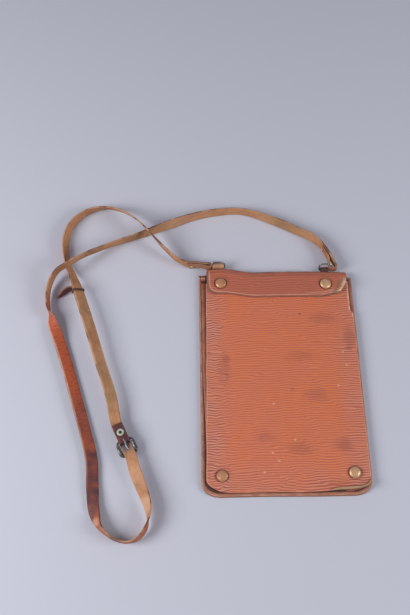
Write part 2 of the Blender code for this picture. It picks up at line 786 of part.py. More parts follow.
def make_eyelet(brass, strap_short):
    low = SHORT_TO_BUCKLE[1][1] - STRAP_THICK / 2
    top = SHORT_TURNED[1][1] + STRAP_THICK / 2 + EYELET_GAP
    centre = buckle_point(EYELET_ALONG, 0.0)
    frame = Matrix.Translation(centre)
    profile = [(EYELET_HOLE, low), (EYELET_TUBE, low), (EYELET_TUBE, top)]
    profile += [(EYELET_FLANGE - inset, top + height) for inset, height in EYELET_OUTLINE]
    mesh_data = bmesh.new()
    join_rings(mesh_data, turned_rings(profile, CAP_SIDES, frame), closed=True)
    finish_mesh("chape_eyelet", mesh_data, brass)
    hole = ((EYELET_TUBE + GAP, low - HOLE_SPARE), (EYELET_TUBE + GAP, top + HOLE_SPARE))
    cut_away(strap_short, make_turned("eyelet_hole", hole, CAP_SIDES, frame, brass))


def make_keeper(leather):
    sections = strap_sections(short_rows())
    point, across, face, wide = sections[KEEPER_ROW]
    run = across.cross(face)
    loop_wide = STRAP_WIDE + 2 * KEEPER_ROOM + KEEPER_THICK
    loop_tall = STRAP_PAIR + STRAP_THICK + 2 * KEEPER_ROOM + KEEPER_THICK
    loop = rounded_loop(loop_wide, loop_tall, KEEPER_CORNER, KEEPER_CORNER, 3)
    foot = point - face * (STRAP_PAIR + STRAP_THICK / 2 + KEEPER_ROOM + KEEPER_THICK / 2)
    count = len(loop)
    rings = []
    for index in range(count):
        here = Vector(loop[index])
        after = Vector(loop[(index + 1) % count])
        heading = (after - Vector(loop[index - 1])).normalized()
        outward = Vector((heading.y, -heading.x)) * KEEPER_THICK / 2
        ring = []
        for edge, shift in ((outward, -0.5), (outward, 0.5), (-outward, 0.5), (-outward, -0.5)):
            spot = here + edge
            ring.append(foot + across * spot.x + face * spot.y + run * shift * KEEPER_WIDE)
        rings.append(ring)
    mesh_data = bmesh.new()
    join_rings(mesh_data, rings, closed=True)
    return finish_mesh("strap_keeper", mesh_data, leather)


def build():
    clear_scene()
    ribbed = make_material("ribbed_leather", (0.46, 0.145, 0.062), 0.5, 0.0)
    inner = make_material("inner_leather", (0.30, 0.12, 0.06), 0.7, 0.0)
    strap_leather = make_material("strap_leather", (0.42, 0.20, 0.10), 0.7, 0.0)
    iron = make_material("worn_iron", (0.11, 0.095, 0.09), 0.5, 0.9)
    brass = make_material("worn_brass", (0.55, 0.29, 0.14), 0.35, 0.9)
    flap = make_back_and_flap(ribbed)
    make_edge_welt(inner)
    make_pocket_front(inner)
    cover = make_front_cover(ribbed)
    make_snaps(brass, {True: flap, False: cover})
    make_rings_and_chapes(iron, strap_leather)
    long_run = strap_sections(smooth_rows(long_rows()))
    short_run = short_sections()
    strap_long = make_strap("strap_long", long_run, strap_leather)
    strap_short = make_strap("strap_short", short_run, strap_leather)
    turned_ends = ((long_run, strap_long), (short_run, strap_short))
    for (name, near, far), (sections, strap) in zip(RIVETS, turned_ends):
        make_rivet(name, sections, near, far, strap, brass)
    make_buckle(iron, strap_long, strap_short)
    make_eyelet(brass, strap_short)
    make_keeper(strap_leather)


build()
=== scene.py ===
# Map case with its shoulder strap, lying on its back: the looks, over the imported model.
# Lengths are millimetres until a piece is finished, and then metres.
import random
from math import atan2, cos, exp, hypot, pi, radians, sin, sqrt

import bmesh
import bpy
from mathutils import Matrix, Vector, noise


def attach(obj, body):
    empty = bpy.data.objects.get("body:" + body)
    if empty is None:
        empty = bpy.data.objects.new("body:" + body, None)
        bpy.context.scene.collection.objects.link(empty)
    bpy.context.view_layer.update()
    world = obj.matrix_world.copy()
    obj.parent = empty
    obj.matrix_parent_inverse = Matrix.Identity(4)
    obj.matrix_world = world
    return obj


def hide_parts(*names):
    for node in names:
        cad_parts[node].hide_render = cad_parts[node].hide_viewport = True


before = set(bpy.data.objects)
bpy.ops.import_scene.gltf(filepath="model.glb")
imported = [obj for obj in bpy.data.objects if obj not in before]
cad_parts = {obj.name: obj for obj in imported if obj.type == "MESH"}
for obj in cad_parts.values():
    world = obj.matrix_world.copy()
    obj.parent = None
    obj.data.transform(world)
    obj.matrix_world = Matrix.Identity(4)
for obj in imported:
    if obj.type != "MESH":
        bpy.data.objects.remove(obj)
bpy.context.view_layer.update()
mm = 0.001
up = Vector((0, 0, 1))


def smoothStep(value):
    value = min(1, max(0, value))
    return value * value * (3 - 2 * value)


def rising(value, start, run):
    # From 0 at the start to 1 one run above it
    return smoothStep((value - start) / run)


def falling(value, start, run):
    # From 0 at the start to 1 one run below it
    return smoothStep((start - value) / run)


def mixValues(first, last, share):
    return first + (last - first) * share


def hump(value, centre, width):
    return exp(-((value - centre) / width) ** 2)


def wobble(x, y, size, seed=0):
    return noise.noise(Vector((x / size, y / size, seed)))


# Node trees

def fillInputs(tree, node, inputs):
    for key, value in inputs.items():
        if isinstance(value, bpy.types.NodeSocket):
            tree.links.new(value, node.inputs[key])
        else:
            node.inputs[key].default_value = value


def addNode(tree, kind, inputs=None, **settings):
    node = tree.nodes.new("ShaderNode" + kind)
    for key, value in settings.items():
        setattr(node, key, value)
    fillInputs(tree, node, inputs or {})
    return node


def doMath(tree, operation, first, second, clamp=False):
    inputs = {0: first, 1: second}
    return addNode(tree, "Math", inputs, operation=operation, use_clamp=clamp).outputs[0]


def times(tree, first, second):
    return doMath(tree, "MULTIPLY", first, second)


def plus(tree, first, second):
    return doMath(tree, "ADD", first, second)


def ramp(tree, value, low, high):
    inputs = {"Value": value, "From Min": low, "From Max": high}
    return addNode(tree, "MapRange", inputs, interpolation_type="SMOOTHSTEP").outputs["Result"]


def addNoise(tree, place, scale, detail, rough=0.5):
    inputs = {"Vector": place, "Scale": scale, "Detail": detail, "Roughness": rough}
    return addNode(tree, "TexNoise", inputs).outputs["Fac"]


def mark(tree, name):
    return addNode(tree, "Attribute", attribute_name=name).outputs["Fac"]


def layColours(tree, colour, *layers):
    # Each layer is a mask, and the colour that it lays over those before it
    for share, tone in layers:
        first, second = (
            item if isinstance(item, bpy.types.NodeSocket) else (*item, 1) for item in (colour, tone)
        )
        # A colour mix has its two colours at inputs 6 and 7, and its result at output 2
        colour = addNode(tree, "Mix", {0: share, 6: first, 7: second}, data_type="RGBA").outputs[2]
    return colour


def newGroup(name, sizes, results):
    # Every group takes a place and some sizes, and gives masks
    group = bpy.data.node_groups.new(name, "ShaderNodeTree")
    group.interface.new_socket("Vector", in_out="INPUT", socket_type="NodeSocketVector")
    for label, value in sizes.items():
        socket = group.interface.new_socket(label, in_out="INPUT", socket_type="NodeSocketFloat")
        socket.default_value = value
    for label in results:
        group.interface.new_socket(label, in_out="OUTPUT", socket_type="NodeSocketFloat")
    return group, group.nodes.new("NodeGroupInput").outputs, group.nodes.new("NodeGroupOutput")


def perMetre(tree, size):
    # A noise scale from a size in millimetres
    return doMath(tree, "DIVIDE", 1 / mm, size)


def makeLeatherAge():
    # Soft blotches, dark pores, pale scuffs and a fine grain
    sizes = {"Blotch Size": 30, "Pore Size": 1.2, "Scuff Amount": 0.5}
    group, start, end = newGroup("leatherAge", sizes, ("Blotch", "Pores", "Scuffs", "Grain"))
    place = start["Vector"]
    poreScale = perMetre(group, start["Pore Size"])
    pores = addNoise(group, place, poreScale, 3, 0.7)
    cells = addNode(group, "TexVoronoi", {"Vector": place, "Scale": poreScale}).outputs["Distance"]
    blotch = addNoise(group, place, perMetre(group, start["Blotch Size"]), 5, 0.6)
    level = doMath(group, "SUBTRACT", 0.79, times(group, addNoise(group, place, 22, 2), 0.14))
    level = doMath(group, "SUBTRACT", level, times(group, start["Scuff Amount"], 0.06))
    above = doMath(group, "SUBTRACT", addNoise(group, place, 210, 4, 0.75), level)
    fillInputs(group, end, {
        "Blotch": ramp(group, blotch, 0.3, 0.7),
        "Pores": ramp(group, pores, 0.62, 0.4),
        "Scuffs": ramp(group, above, 0, 0.05),
        "Grain": plus(group, pores, times(group, cells, 0.6)),
    })
    return group


def makeMetalAge():
    # Tarnish in patches, small pits and rubbed specks
    group, start, end = newGroup("metalAge", {"Patch Size": 4}, ("Tarnish", "Pits", "Speckle"))
    place = start["Vector"]
    patch = addNoise(group, place, perMetre(group, start["Patch Size"]), 4, 0.65)
    fine = addNoise(group, place, 1400, 3, 0.7)
    fillInputs(group, end, {
        "Tarnish": ramp(group, patch, 0.38, 0.62),
        "Pits": ramp(group, fine, 0.3, 0.5),
        "Speckle": ramp(group, fine, 0.55, 0.7),
    })
    return group


# Patches: x, y, half width, half height, strength; specks: x, y
stainPlaces = {
    "patches": (
        (-65, 26.5, 6, 8, 0.5),
        (-64, 4, 5.5, 7, 0.35),
        (-68, 15, 9, 22, 0.25),
        (13, -13.5, 2.2, 2, 0.7),
        (28.5, 84.5, 2, 1.8, 0.8),
        (42, -21, 16, 9, 0.32),
        (26.5, 28.5, 20, 8, 0.25),
        (-21.5, -72, 13, 6, 0.3),
        (16.5, -86, 18, 9, 0.32),
        (68.5, -82.5, 13, 10, 0.42),
        (87, 52, 8, 16, 0.4),
        (56, 78.5, 18, 9, 0.3),
    ),
    "specks": (
        (77.5, 33.5), (-10.5, -31.5), (-15, -90.5), (-25.5, -112.5),
        (-8, -100), (12, -76), (80.5, 16.5), (68.5, -9.5),
    ),
    "ragged": 1.6,
}


def makeStains():
    # Dark patches with ragged borders on the cover
    group, start, end = newGroup("stains", {}, ("Stain",))
    ragged = doMath(group, "SUBTRACT", addNoise(group, start["Vector"], 120, 5, 0.7), 0.5)
    total = 0
    for x, y, wide, tall, strength in stainPlaces["patches"]:
        away = start["Vector"]
        for operation, value in (
            ("SUBTRACT", (x * mm, y * mm, 0)),
            ("MULTIPLY", (1 / (wide * mm), 1 / (tall * mm), 0)),
        ):
            away = addNode(group, "VectorMath", {0: away, 1: value}, operation=operation).outputs[0]
        away = addNode(group, "VectorMath", {0: away}, operation="LENGTH").outputs["Value"]
        away = plus(group, away, times(group, ragged, stainPlaces["ragged"]))
        total = doMath(group, "MAXIMUM", total, times(group, ramp(group, away, 1.3, 0.3), strength))
    fillInputs(group, end, {"Stain": total})
    return group


groups = {"leather": makeLeatherAge(), "metal": makeMetalAge(), "stains": makeStains()}


def startMaterial(name):
    material = bpy.data.materials.new(name)
    material.use_nodes = True
    tree = material.node_tree
    return material, tree, addNode(tree, "TexCoord").outputs["Object"]


def useGroup(tree, key, place, *sizes):
    # The group's masks here, with sizes in the order of its own sockets
    inputs = {0: place, **{index + 1: size for index, size in enumerate(sizes)}}
    return addNode(tree, "Group", inputs, node_tree=groups[key]).outputs


def endMaterial(material, sockets, height, strength, depth):
    tree = material.node_tree
    bump = addNode(tree, "Bump", {"Height": height, "Strength": strength, "Distance": depth})
    fillInputs(tree, tree.nodes["Principled BSDF"], {**sockets, "Normal": bump.outputs["Normal"]})
    return material


ribbedFinish = {
    "crest": (0.71, 0.205, 0.105), "valley": (0.48, 0.118, 0.062), "warm": (0.74, 0.195, 0.07),
    "dullCrest": (0.74, 0.29, 0.20), "dullValley": (0.25, 0.075, 0.055),
    "olive": (0.42, 0.31, 0.165), "stain": (0.16, 0.052, 0.05), "shade": (0.30, 0.075, 0.05),
    "rawEdge": (0.30, 0.17, 0.085), "rawPores": (0.13, 0.06, 0.035), "flesh": (0.33, 0.17, 0.09),
    "fleshDark": (0.22, 0.10, 0.05), "scuff": (0.86, 0.60, 0.48), "rub": (0.80, 0.52, 0.38),
    # The paintedShadeAndDirt tone is mostly painted shade, round the studs, in creases and under edges,
    # with a little dirt
    "paintedShadeAndDirt": (0.075, 0.028, 0.02), "roughness": 0.42,
}


def makeRibbedLeather(name, shade):
    tones = ribbedFinish
    material, tree, place = startMaterial(name)
    age = useGroup(tree, "leather", place, 42, 1.1, 0.5)
    stain = useGroup(tree, "stains", place)["Stain"]
    rib = mark(tree, "rib")
    dull = mark(tree, "dull")
    edge = mark(tree, "edge")
    depth = ramp(tree, rib, 0.95, 0.05)
    crestScuff = times(tree, age["Scuffs"], ramp(tree, rib, 0.5, 0.95))
    colour = layColours(
        tree, tones["crest"],
        (age["Blotch"], tones["warm"]),
        (dull, tones["dullCrest"]),
        (depth, layColours(tree, tones["valley"], (dull, tones["dullValley"]))),
        (times(tree, stain, 0.8), tones["stain"]),
        (times(tree, age["Pores"], 0.16), tones["valley"]),
        (shade, tones["shade"]),
        (times(tree, crestScuff, 0.75), tones["scuff"]),
        (mark(tree, "paintedShadeAndDirt"), tones["paintedShadeAndDirt"]),
        (mark(tree, "rub"), tones["rub"]),
        (mark(tree, "olive"), tones["olive"]),
        (edge, layColours(tree, tones["rawEdge"], (age["Pores"], tones["rawPores"]))),
        (mark(tree, "under"), layColours(tree, tones["flesh"], (age["Blotch"], tones["fleshDark"]))),
    )
    rough = plus(tree, tones["roughness"], times(tree, age["Blotch"], 0.14))
    rough = plus(tree, rough, times(tree, depth, 0.2))
    rough = doMath(tree, "ADD", rough, times(tree, edge, 0.3), True)
    sockets = {"Base Color": colour, "Roughness": rough, "Specular IOR Level": 0.55}
    return endMaterial(material, sockets, age["Grain"], 0.35, 0.0002)


strapFinish = {
    "flesh": (0.58, 0.28, 0.14), "fleshDark": (0.35, 0.16, 0.08), "fleshPale": (0.70, 0.44, 0.30),
    "olive": (0.26, 0.19, 0.10), "grain": (0.45, 0.095, 0.038), "grainDark": (0.085, 0.032, 0.036),
    "streak": (0.27, 0.125, 0.055), "grainPale": (0.62, 0.25, 0.16), "edge": (0.46, 0.28, 0.18),
    "edgeDark": (0.11, 0.05, 0.045), "shadeAndGrime": (0.17, 0.12, 0.115),
}


def makeStrapLeather(name):
    tones = strapFinish
    material, tree, place = startMaterial(name)
    age = useGroup(tree, "leather", place, 26, 0.8, 1.2)
    flow = addNode(tree, "UVMap", uv_map="flow").outputs["UV"]

    def drawnNoise(across, along, detail, rough):
        spot = addNode(tree, "Mapping", {"Vector": flow, "Scale": (across, along, 1)}).outputs[0]
        return addNoise(tree, spot, 1, detail, rough)

    # Long fibres and streaks on the flesh side, fine cross creases on the grain side
    fibres = drawnNoise(900, 130, 5, 0.7)
    streaks = drawnNoise(420, 28, 4, 0.6)
    creases = drawnNoise(110, 800, 4, 0.65)
    dark = mark(tree, "dark")
    under = mark(tree, "under")
    flesh = layColours(
        tree, tones["flesh"],
        (age["Blotch"], tones["fleshDark"]),
        (times(tree, ramp(tree, streaks, 0.5, 0.68), 0.7), tones["streak"]),
        (ramp(tree, fibres, 0.52, 0.76), tones["fleshPale"]),
        (times(tree, age["Pores"], 0.35), tones["fleshDark"]),
        (mark(tree, "olive"), tones["olive"]),
        (mark(tree, "paintedShadeAndDirt"), tones["shadeAndGrime"]),
    )
    grain = layColours(
        tree, tones["grain"],
        (dark, tones["grainDark"]),
        (times(tree, ramp(tree, creases, 0.47, 0.40), 0.6), tones["grainDark"]),
        (times(tree, ramp(tree, creases, 0.55, 0.75), 0.35), tones["grainPale"]),
    )
    blackened = doMath(tree, "MAXIMUM", dark, ramp(tree, age["Blotch"], 0.35, 0.75))
    colour = layColours(
        tree, flesh,
        (mark(tree, "ruddy"), grain),
        (under, layColours(tree, grain, (mark(tree, "fade"), flesh))),
        (times(tree, age["Scuffs"], 0.6), tones["fleshPale"]),
        (mark(tree, "rub"), tones["fleshPale"]),
        (mark(tree, "edge"), layColours(tree, tones["edge"], (blackened, tones["edgeDark"]))),
    )
    rough = doMath(tree, "SUBTRACT", 0.82, times(tree, under, 0.34))
    rough = plus(tree, rough, times(tree, age["Blotch"], 0.1))
    height = plus(tree, times(tree, creases, 0.8), times(tree, age["Grain"], 0.4))
    sockets = {"Base Color": colour, "Roughness": rough, "Specular IOR Level": 0.25}
    return endMaterial(material, sockets, height, 0.5, 0.0003)


# Main, deep and pale tone of each plain leather
plainFinish = {
    "rim": ((0.50, 0.205, 0.13), (0.32, 0.11, 0.068), (0.66, 0.40, 0.29)),
    "pocket": ((0.42, 0.145, 0.085), (0.25, 0.075, 0.045), (0.64, 0.34, 0.23)),
    "tan": ((0.58, 0.33, 0.19), (0.36, 0.18, 0.10), (0.74, 0.54, 0.38)),
    "dark": ((0.14, 0.05, 0.038), (0.06, 0.024, 0.02), (0.34, 0.17, 0.12)),
}
# Painted shade in grooves and under edges, with a little dirt
plainShadeAndDirt = (0.075, 0.021, 0.015)
plainEdge = (0.36, 0.16, 0.09)


def makePlainLeather(name, main, deep, pale):
    material, tree, place = startMaterial(name)
    age = useGroup(tree, "leather", place, 14, 0.8, 1)
    colour = layColours(
        tree, main,
        (age["Blotch"], deep),
        (times(tree, age["Pores"], 0.45), deep),
        (times(tree, age["Scuffs"], 0.7), pale),
        (mark(tree, "rub"), pale),
        (mark(tree, "paintedShadeAndDirt"), plainShadeAndDirt),
        (mark(tree, "edge"), layColours(tree, plainEdge, (age["Pores"], deep))),
    )
    rough = plus(tree, 0.55, times(tree, age["Blotch"], 0.2))
    return endMaterial(material, {"Base Color": colour, "Roughness": rough}, age["Grain"], 0.5, 0.0003)


# Bright and dull tone, roughness where bright and where dull, how metallic
metalFinish = {
    "tarnishedBrass": ((0.78, 0.47, 0.26), (0.52, 0.29, 0.16), 0.32, 0.5, 0.5),
    "dullCopper": ((0.72, 0.35, 0.18), (0.42, 0.19, 0.105), 0.32, 0.5, 0.5),
    "wornIron": ((0.20, 0.18, 0.18), (0.055, 0.042, 0.045), 0.30, 0.62, 0.9),
    "greySteel": ((0.40, 0.42, 0.46), (0.10, 0.09, 0.10), 0.26, 0.55, 0.95),
    "greenBrass": ((0.50, 0.54, 0.43), (0.36, 0.43, 0.33), 0.55, 0.85, 0.15),
}


def makeMetal(name, bright, dull, brightRough, dullRough, shine):
    material, tree, place = startMaterial(name)
    age = useGroup(tree, "metal", place, 3.5)
    worn = doMath(tree, "MAXIMUM", age["Tarnish"], times(tree, age["Speckle"], 0.6))
    # A dark tone for painted shade at the feet of the caps and in the eyelet's hole
    paintedShade = tuple(part * 0.2 for part in dull)
    sockets = {
        "Base Color": layColours(tree, bright, (worn, dull), (mark(tree, "paintedShadeAndDirt"), paintedShade)),
        "Metallic": doMath(tree, "SUBTRACT", shine, times(tree, worn, shine * 0.5)),
        "Roughness": plus(tree, brightRough, times(tree, worn, dullRough - brightRough)),
    }
    return endMaterial(material, sockets, age["Pits"], 0.4, 0.00015)


threadFinish = {"dark": (0.16, 0.065, 0.04), "pale": (0.52, 0.31, 0.2), "roughness": 0.8}


def makeThread(name):
    material, tree, place = startMaterial(name)
    fibres = addNoise(tree, place, 1500, 4)
    pale = ramp(tree, fibres, 0.35, 0.65)
    colour = layColours(tree, threadFinish["dark"], (pale, threadFinish["pale"]))
    sockets = {"Base Color": colour, "Roughness": threadFinish["roughness"]}
    return endMaterial(material, sockets, fibres, 0.5, 0.0002)


materials = {
    "ribbed": makeRibbedLeather("ribbedLeather", 0),
    "flap": makeRibbedLeather("flapLeather", 0.5),
    "strap": makeStrapLeather("strapLeather"),
    "thread": makeThread("waxedThread"),
}
materials.update({key: makePlainLeather(key + "Leather", *tones) for key, tones in plainFinish.items()})
materials.update({key: makeMetal(key, *finish) for key, finish in metalFinish.items()})
print("materials ready")


# Pieces

# paintedShadeAndDirt carries painted shade as well as dirt
markNames = ("rib", "dull", "paintedShadeAndDirt", "rub", "edge", "under", "dark", "olive", "fade", "ruddy")


def addObject(name, data):
    made = bpy.data.objects.new(name, data)
    bpy.context.scene.collection.objects.link(made)
    return made


def addMesh(name, mesh, material):
    data = bpy.data.meshes.new(name)
    mesh.to_mesh(data)
    mesh.free()
    data.materials.append(material)
    return addObject(name, data)


def finishPiece(name, mesh, materialName, nodes):
    bmesh.ops.scale(mesh, vec=(mm, mm, mm), verts=mesh.verts)
    bmesh.ops.recalc_face_normals(mesh, faces=mesh.faces)
    piece = addMesh(name, mesh, materials[materialName])
    piece.data.shade_smooth()
    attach(piece, "root")
    if nodes:
        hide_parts(*nodes)


def growSheet(columns, rows, coarse, place, thickness, roundness):
    # Two grids joined by a rounded wall, then laid out by place(across, along), both -0.5 to 0.5.
    # place gives the upper face's point, its normal, its relief and a dictionary of marks.
    mesh = bmesh.new()
    bmesh.ops.create_grid(mesh, x_segments=columns, y_segments=rows, size=0.5)
    below = Matrix.Translation((0, 0, -1))
    few = {"x_segments": columns // coarse, "y_segments": rows // coarse}
    bmesh.ops.create_grid(mesh, size=0.5, matrix=below, **few)
    if coarse > 1:
        low = [edge for edge in mesh.edges if edge.is_boundary and edge.verts[0].co.z < -0.5]
        bmesh.ops.subdivide_edges(mesh, edges=low, cuts=coarse - 1)
    rim = [edge for edge in mesh.edges if edge.is_boundary]
    bmesh.ops.bridge_loops(mesh, edges=rim)
    wall = [edge for edge in mesh.edges if abs(edge.verts[0].co.z - edge.verts[1].co.z) > 0.5]
    bmesh.ops.subdivide_edges(mesh, edges=wall, cuts=2)
    marks = {key: mesh.verts.layers.float.new(key) for key in markNames}
    flow = mesh.loops.layers.uv.new("flow")
    homes = {}
    for vert in mesh.verts:
        across, along, level = vert.co
        point, normal, relief, values = place(across, along)
        sink = thickness * -level
        rimmed = max(abs(across), abs(along)) > 0.4999
        if level > -0.01:
            sink -= relief
        if rimmed:
            outward = Vector((0, 0, 0))
            if abs(across) > 0.4999:
                outward += (point - place(across * 0.98, along)[0]).normalized()
            if abs(along) > 0.4999:
                outward += (point - place(across, along * 0.995)[0]).normalized()
            outward = (outward - normal * outward.dot(normal)).normalized()
            point = point + outward * roundness * (sin(pi * min(1, max(0, -level))) - 0.6)
        homes[vert] = point - normal * sink
        for key, value in values.items():
            vert[marks[key]] = value
        vert[marks["under"]] = 1 if level < -0.9 else 0
        vert[marks["edge"]] = 1 if -0.9 < level < -0.01 else 0
    for face in mesh.faces:
        for loop in face.loops:
            loop[flow].uv = (loop.vert.co.x, loop.vert.co.y)
    for vert, home in homes.items():
        vert.co = home
    return mesh


# The case's body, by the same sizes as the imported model

body = {
    "width": 190, "length": 280, "corner": 18, "backThick": 1.8, "pocketLow": 4, "pocketThick": 1.4,
    "coverLow": 5.7, "coverThick": 1.6, "flapLow": 7.6, "pillowHigh": 3.6, "pillowHalfWidth": 92,
    "pillowStart": 6, "pillowRun": 54, "ribPitch": 2.95,
}
# x, y, whether it is on the flap, dimples, radius, metal
studs = {
    "snap_upper_left": (-68, 128.6, True, 0.34, 6.9, "dullCopper"),
    "snap_upper_right": (63.6, 124.7, True, 0.14, 7, "tarnishedBrass"),
    "snap_lower_left": (-73.8, -115.6, False, 0.2, 6.5, "dullCopper"),
    "snap_lower_right": (77.8, -115, False, 0.1, 6.6, "tarnishedBrass"),
}


def caseWarp(point):
    # The old case has spread at both sides and pulled up at its lower left
    x, y, z = point
    left = 0.8 + 0.0085 * max(0, 85 - y)
    x -= left * falling(x, -80, 13)
    x += 3 * rising(point.x, 79, 14)
    y += 1.2 * falling(y, -108, 30) * falling(x, 45, 80)
    return Vector((x, y, z))


def pillow(x, y):
    across = max(0, 1 - (x / body["pillowHalfWidth"]) ** 2)
    along = smoothStep((y + body["length"] / 2 - body["pillowStart"]) / body["pillowRun"])
    return body["pillowHigh"] * across * along


def cornerInset(rise, radius):
    if rise >= radius:
        return 0
    return radius - sqrt(max(0, radius * radius - (radius - rise) ** 2))


def ribShape(x, y, seed):
    # Long soft ridges that wave, lean into one another and fork here and there
    bend = 0.6 * wobble(x, y * 2, 44, seed) + 0.3 * wobble(x, y * 1.5, 15, seed + 3)
    bend += (0.1 + 0.4 * falling(x, -46, 24)) * wobble(x, y * 1.2, 7.5, seed + 5)
    turns = y / body["ribPitch"] + bend
    fork = smoothStep(0.5 + 6 * wobble(x * 0.8, y * 1.5, 26, seed + 7))
    height = 0.5 + 0.5 * cos(2 * pi * turns) * (1 - 2 * fork)
    breaks = smoothStep(0.9 + 1.5 * wobble(x, y * 5, 12, seed + 11))
    return mixValues(0.62, height, 0.45 + 0.55 * breaks)


def studSwell(x, y, onFlap):
    # The leather stands up in a ring round each stud and lies flat under it
    swell = 0
    flat = 0
    for studX, studY, flapStud, *rest in studs.values():
        if flapStud != onFlap:
            continue
        away = hypot(x - studX, y - studY)
        swell += 0.75 * hump(away, 9.2, 1.6) - 0.6 * hump(away, 6.9, 1.1)
        flat = max(flat, falling(away, 9.5, 3))
    return swell, flat


def studShade(x, y):
    # Painted shade in a ring in the leather about each stud, darkest above it
    shade = 0
    for studX, studY, *rest in studs.values():
        away = max(0.1, hypot(x - studX, y - studY))
        side = 0.6 + 0.35 * (y - studY) / away - 0.15 * (x - studX) / away
        shade = max(shade, hump(away, 7.5, 1.1) * side)
    return shade


coverCut = {
    "ribSeed": 1, "top": 130, "bottom": -136, "left": (-86.2, -90), "right": (92.2, 93.2),
    "corner": (25, 17), "rightCorner": 12, "step": 2.8, "lift": 4.5, "liftRun": 14,
    "grid": (164, 540, 4),
}


def coverRise(x):
    # How far the cover's torn lower edge has drawn up at the right
    return 1.3 * rising(x, 30, 30) + 1.9 * rising(x, 66, 24)


def coverLine(x, y):
    # The cover's upper face without its ribs
    run = coverCut["liftRun"]
    near = smoothStep((coverCut["bottom"] + run + coverRise(x) - y) / run)
    lift = coverCut["lift"] * rising(x, 20, 45) * near
    sag = 0.5 * falling(y, -129, 8) * falling(x, 40, 60)
    waves = 0.35 * wobble(x, y, 60, 2) + 0.12 * wobble(x, y, 17, 4)
    return body["coverLow"] + body["coverThick"] + pillow(x, y) + lift - sag + waves


def coverPlace(across, along):
    y = mixValues(coverCut["bottom"], coverCut["top"], along + 0.5)
    rise = y - coverCut["bottom"]
    share = 0.5 - along
    wide, tall = coverCut["corner"]
    left = mixValues(*coverCut["left"], share) + cornerInset(rise, tall) * wide / tall
    left += 0.45 * wobble(0, y, 26, 6)
    straight = mixValues(*coverCut["right"], share) + 0.3 * wobble(50, y, 26, 6)
    straight -= coverCut["step"] * rising(y, 85, 4)
    right = straight - cornerInset(rise, coverCut["rightCorner"])
    x = mixValues(left, right, across + 0.5)
    y += smoothStep(1 - rise / 60) * (coverRise(x) + 0.4 * wobble(x, 0, 20, 9))
    base = coverLine(x, y)
    step = 0.5
    slopeX = (coverLine(x + step, y) - base) / step
    slopeY = (coverLine(x, y + step) - base) / step
    normal = Vector((-slopeX, -slopeY, 1)).normalized()
    rib = ribShape(x, y, coverCut["ribSeed"])
    swell, flat = studSwell(x, y, False)
    fromEdge = min(x - left, right - x, rise)
    edgeDull = 0.85 * falling(x, -56, 26) + 0.6 * rising(x, 60, 26)
    edgeDull = min(1, edgeDull + 0.6 * falling(y, -92, 40))
    strength = (0.24 + 0.23 * edgeDull) * smoothStep(fromEdge / 1.8) * (1 - 0.75 * flat)
    speck = max(hump(hypot(x - a, y - b), 0, 1) for a, b in stainPlaces["specks"])
    bend = coverCut["rightCorner"]
    fromLow = rise
    if rise < bend and straight - x < bend:
        fromLow = bend - hypot(bend - rise, bend - (straight - x))
    bandWide = 2.7 * rising(x, 42, 16) * (1 - 0.45 * rising(x, 76, 14)) * falling(rise, 15, 8)
    frayed = smoothStep((bandWide - fromLow) / 0.7) * rising(x, 46, 8)
    torn = rising(y, 78, 6) * falling(right - x, 1.6, 0.9)
    torn *= smoothStep(0.7 + 1.4 * wobble(0, y, 5, 22))
    rubbed = 0.4 * falling(fromEdge, 1.1, 1.1) * smoothStep(0.35 + wobble(x, y, 9, 21))
    leftTorn = 0.8 * falling(x - left, 1.2, 0.9) * hump(y, 97, 9)
    leftTorn *= smoothStep(0.5 + 2 * wobble(0, y, 4, 25))
    # Painted shade: a line along the inner border of the frayed band, and the rings about the studs
    fringeShade = 0.8 * hump(fromLow, bandWide + 0.5, 0.6) * rising(x, 40, 10) * smoothStep(bandWide)
    values = {
        "rib": mixValues(0.8, rib, min(1, strength / 0.26)),
        "dull": min(1, edgeDull * (0.8 + 0.6 * wobble(x, y, 22, 14))),
        "rub": min(1, max(rubbed, leftTorn, 0.85 * torn, 0.8 * speck)),
        "paintedShadeAndDirt": 0.7 * studShade(x, y) + fringeShade,
        "olive": 0.8 * frayed,
    }
    return caseWarp(Vector((x, y, base))), normal, (rib - 1) * strength + swell * 0.8, values


def makeCover():
    mesh = growSheet(*coverCut["grid"], coverPlace, body["coverThick"], 0.35)
    finishPiece("frontCover", mesh, "ribbed", ["front_cover"])


flapCut = {
    "ribSeed": 31, "foldCentre": 138.2, "backTop": 137.4, "puff": 7.5, "left": -85.6, "right": 91,
    "slant": 10.5, "edgeMiddle": 107.6, "leftRise": 7, "rightRise": 4.6, "corner": 9.5, "bend": 12,
    "drop": 27.5, "line": 2.55, "columns": 156, "rows": (276, 28, 64),
}


def foldPuff(x):
    return flapCut["puff"] * falling(x, -24, 44)


def backPlace(across, share):
    # The back's outer face lies on the floor, so its normal points down
    low = -body["length"] / 2
    y = mixValues(low, flapCut["backTop"], share)
    reach = body["width"] / 2 - cornerInset(y - low, body["corner"])
    x = across * 2 * reach
    rib = ribShape(x, y, flapCut["ribSeed"])
    fromEdge = min(reach - abs(x), y - low)
    strength = 0.3 * smoothStep(fromEdge / 3)
    worn = 0.3 * falling(fromEdge, 1.2, 1.2)
    values = {"rib": mixValues(1, rib, strength / 0.3), "dull": 0.6, "rub": worn}
    return caseWarp(Vector((x, y, 0))), Vector((0, 0, -1)), (rib - 1) * strength, values


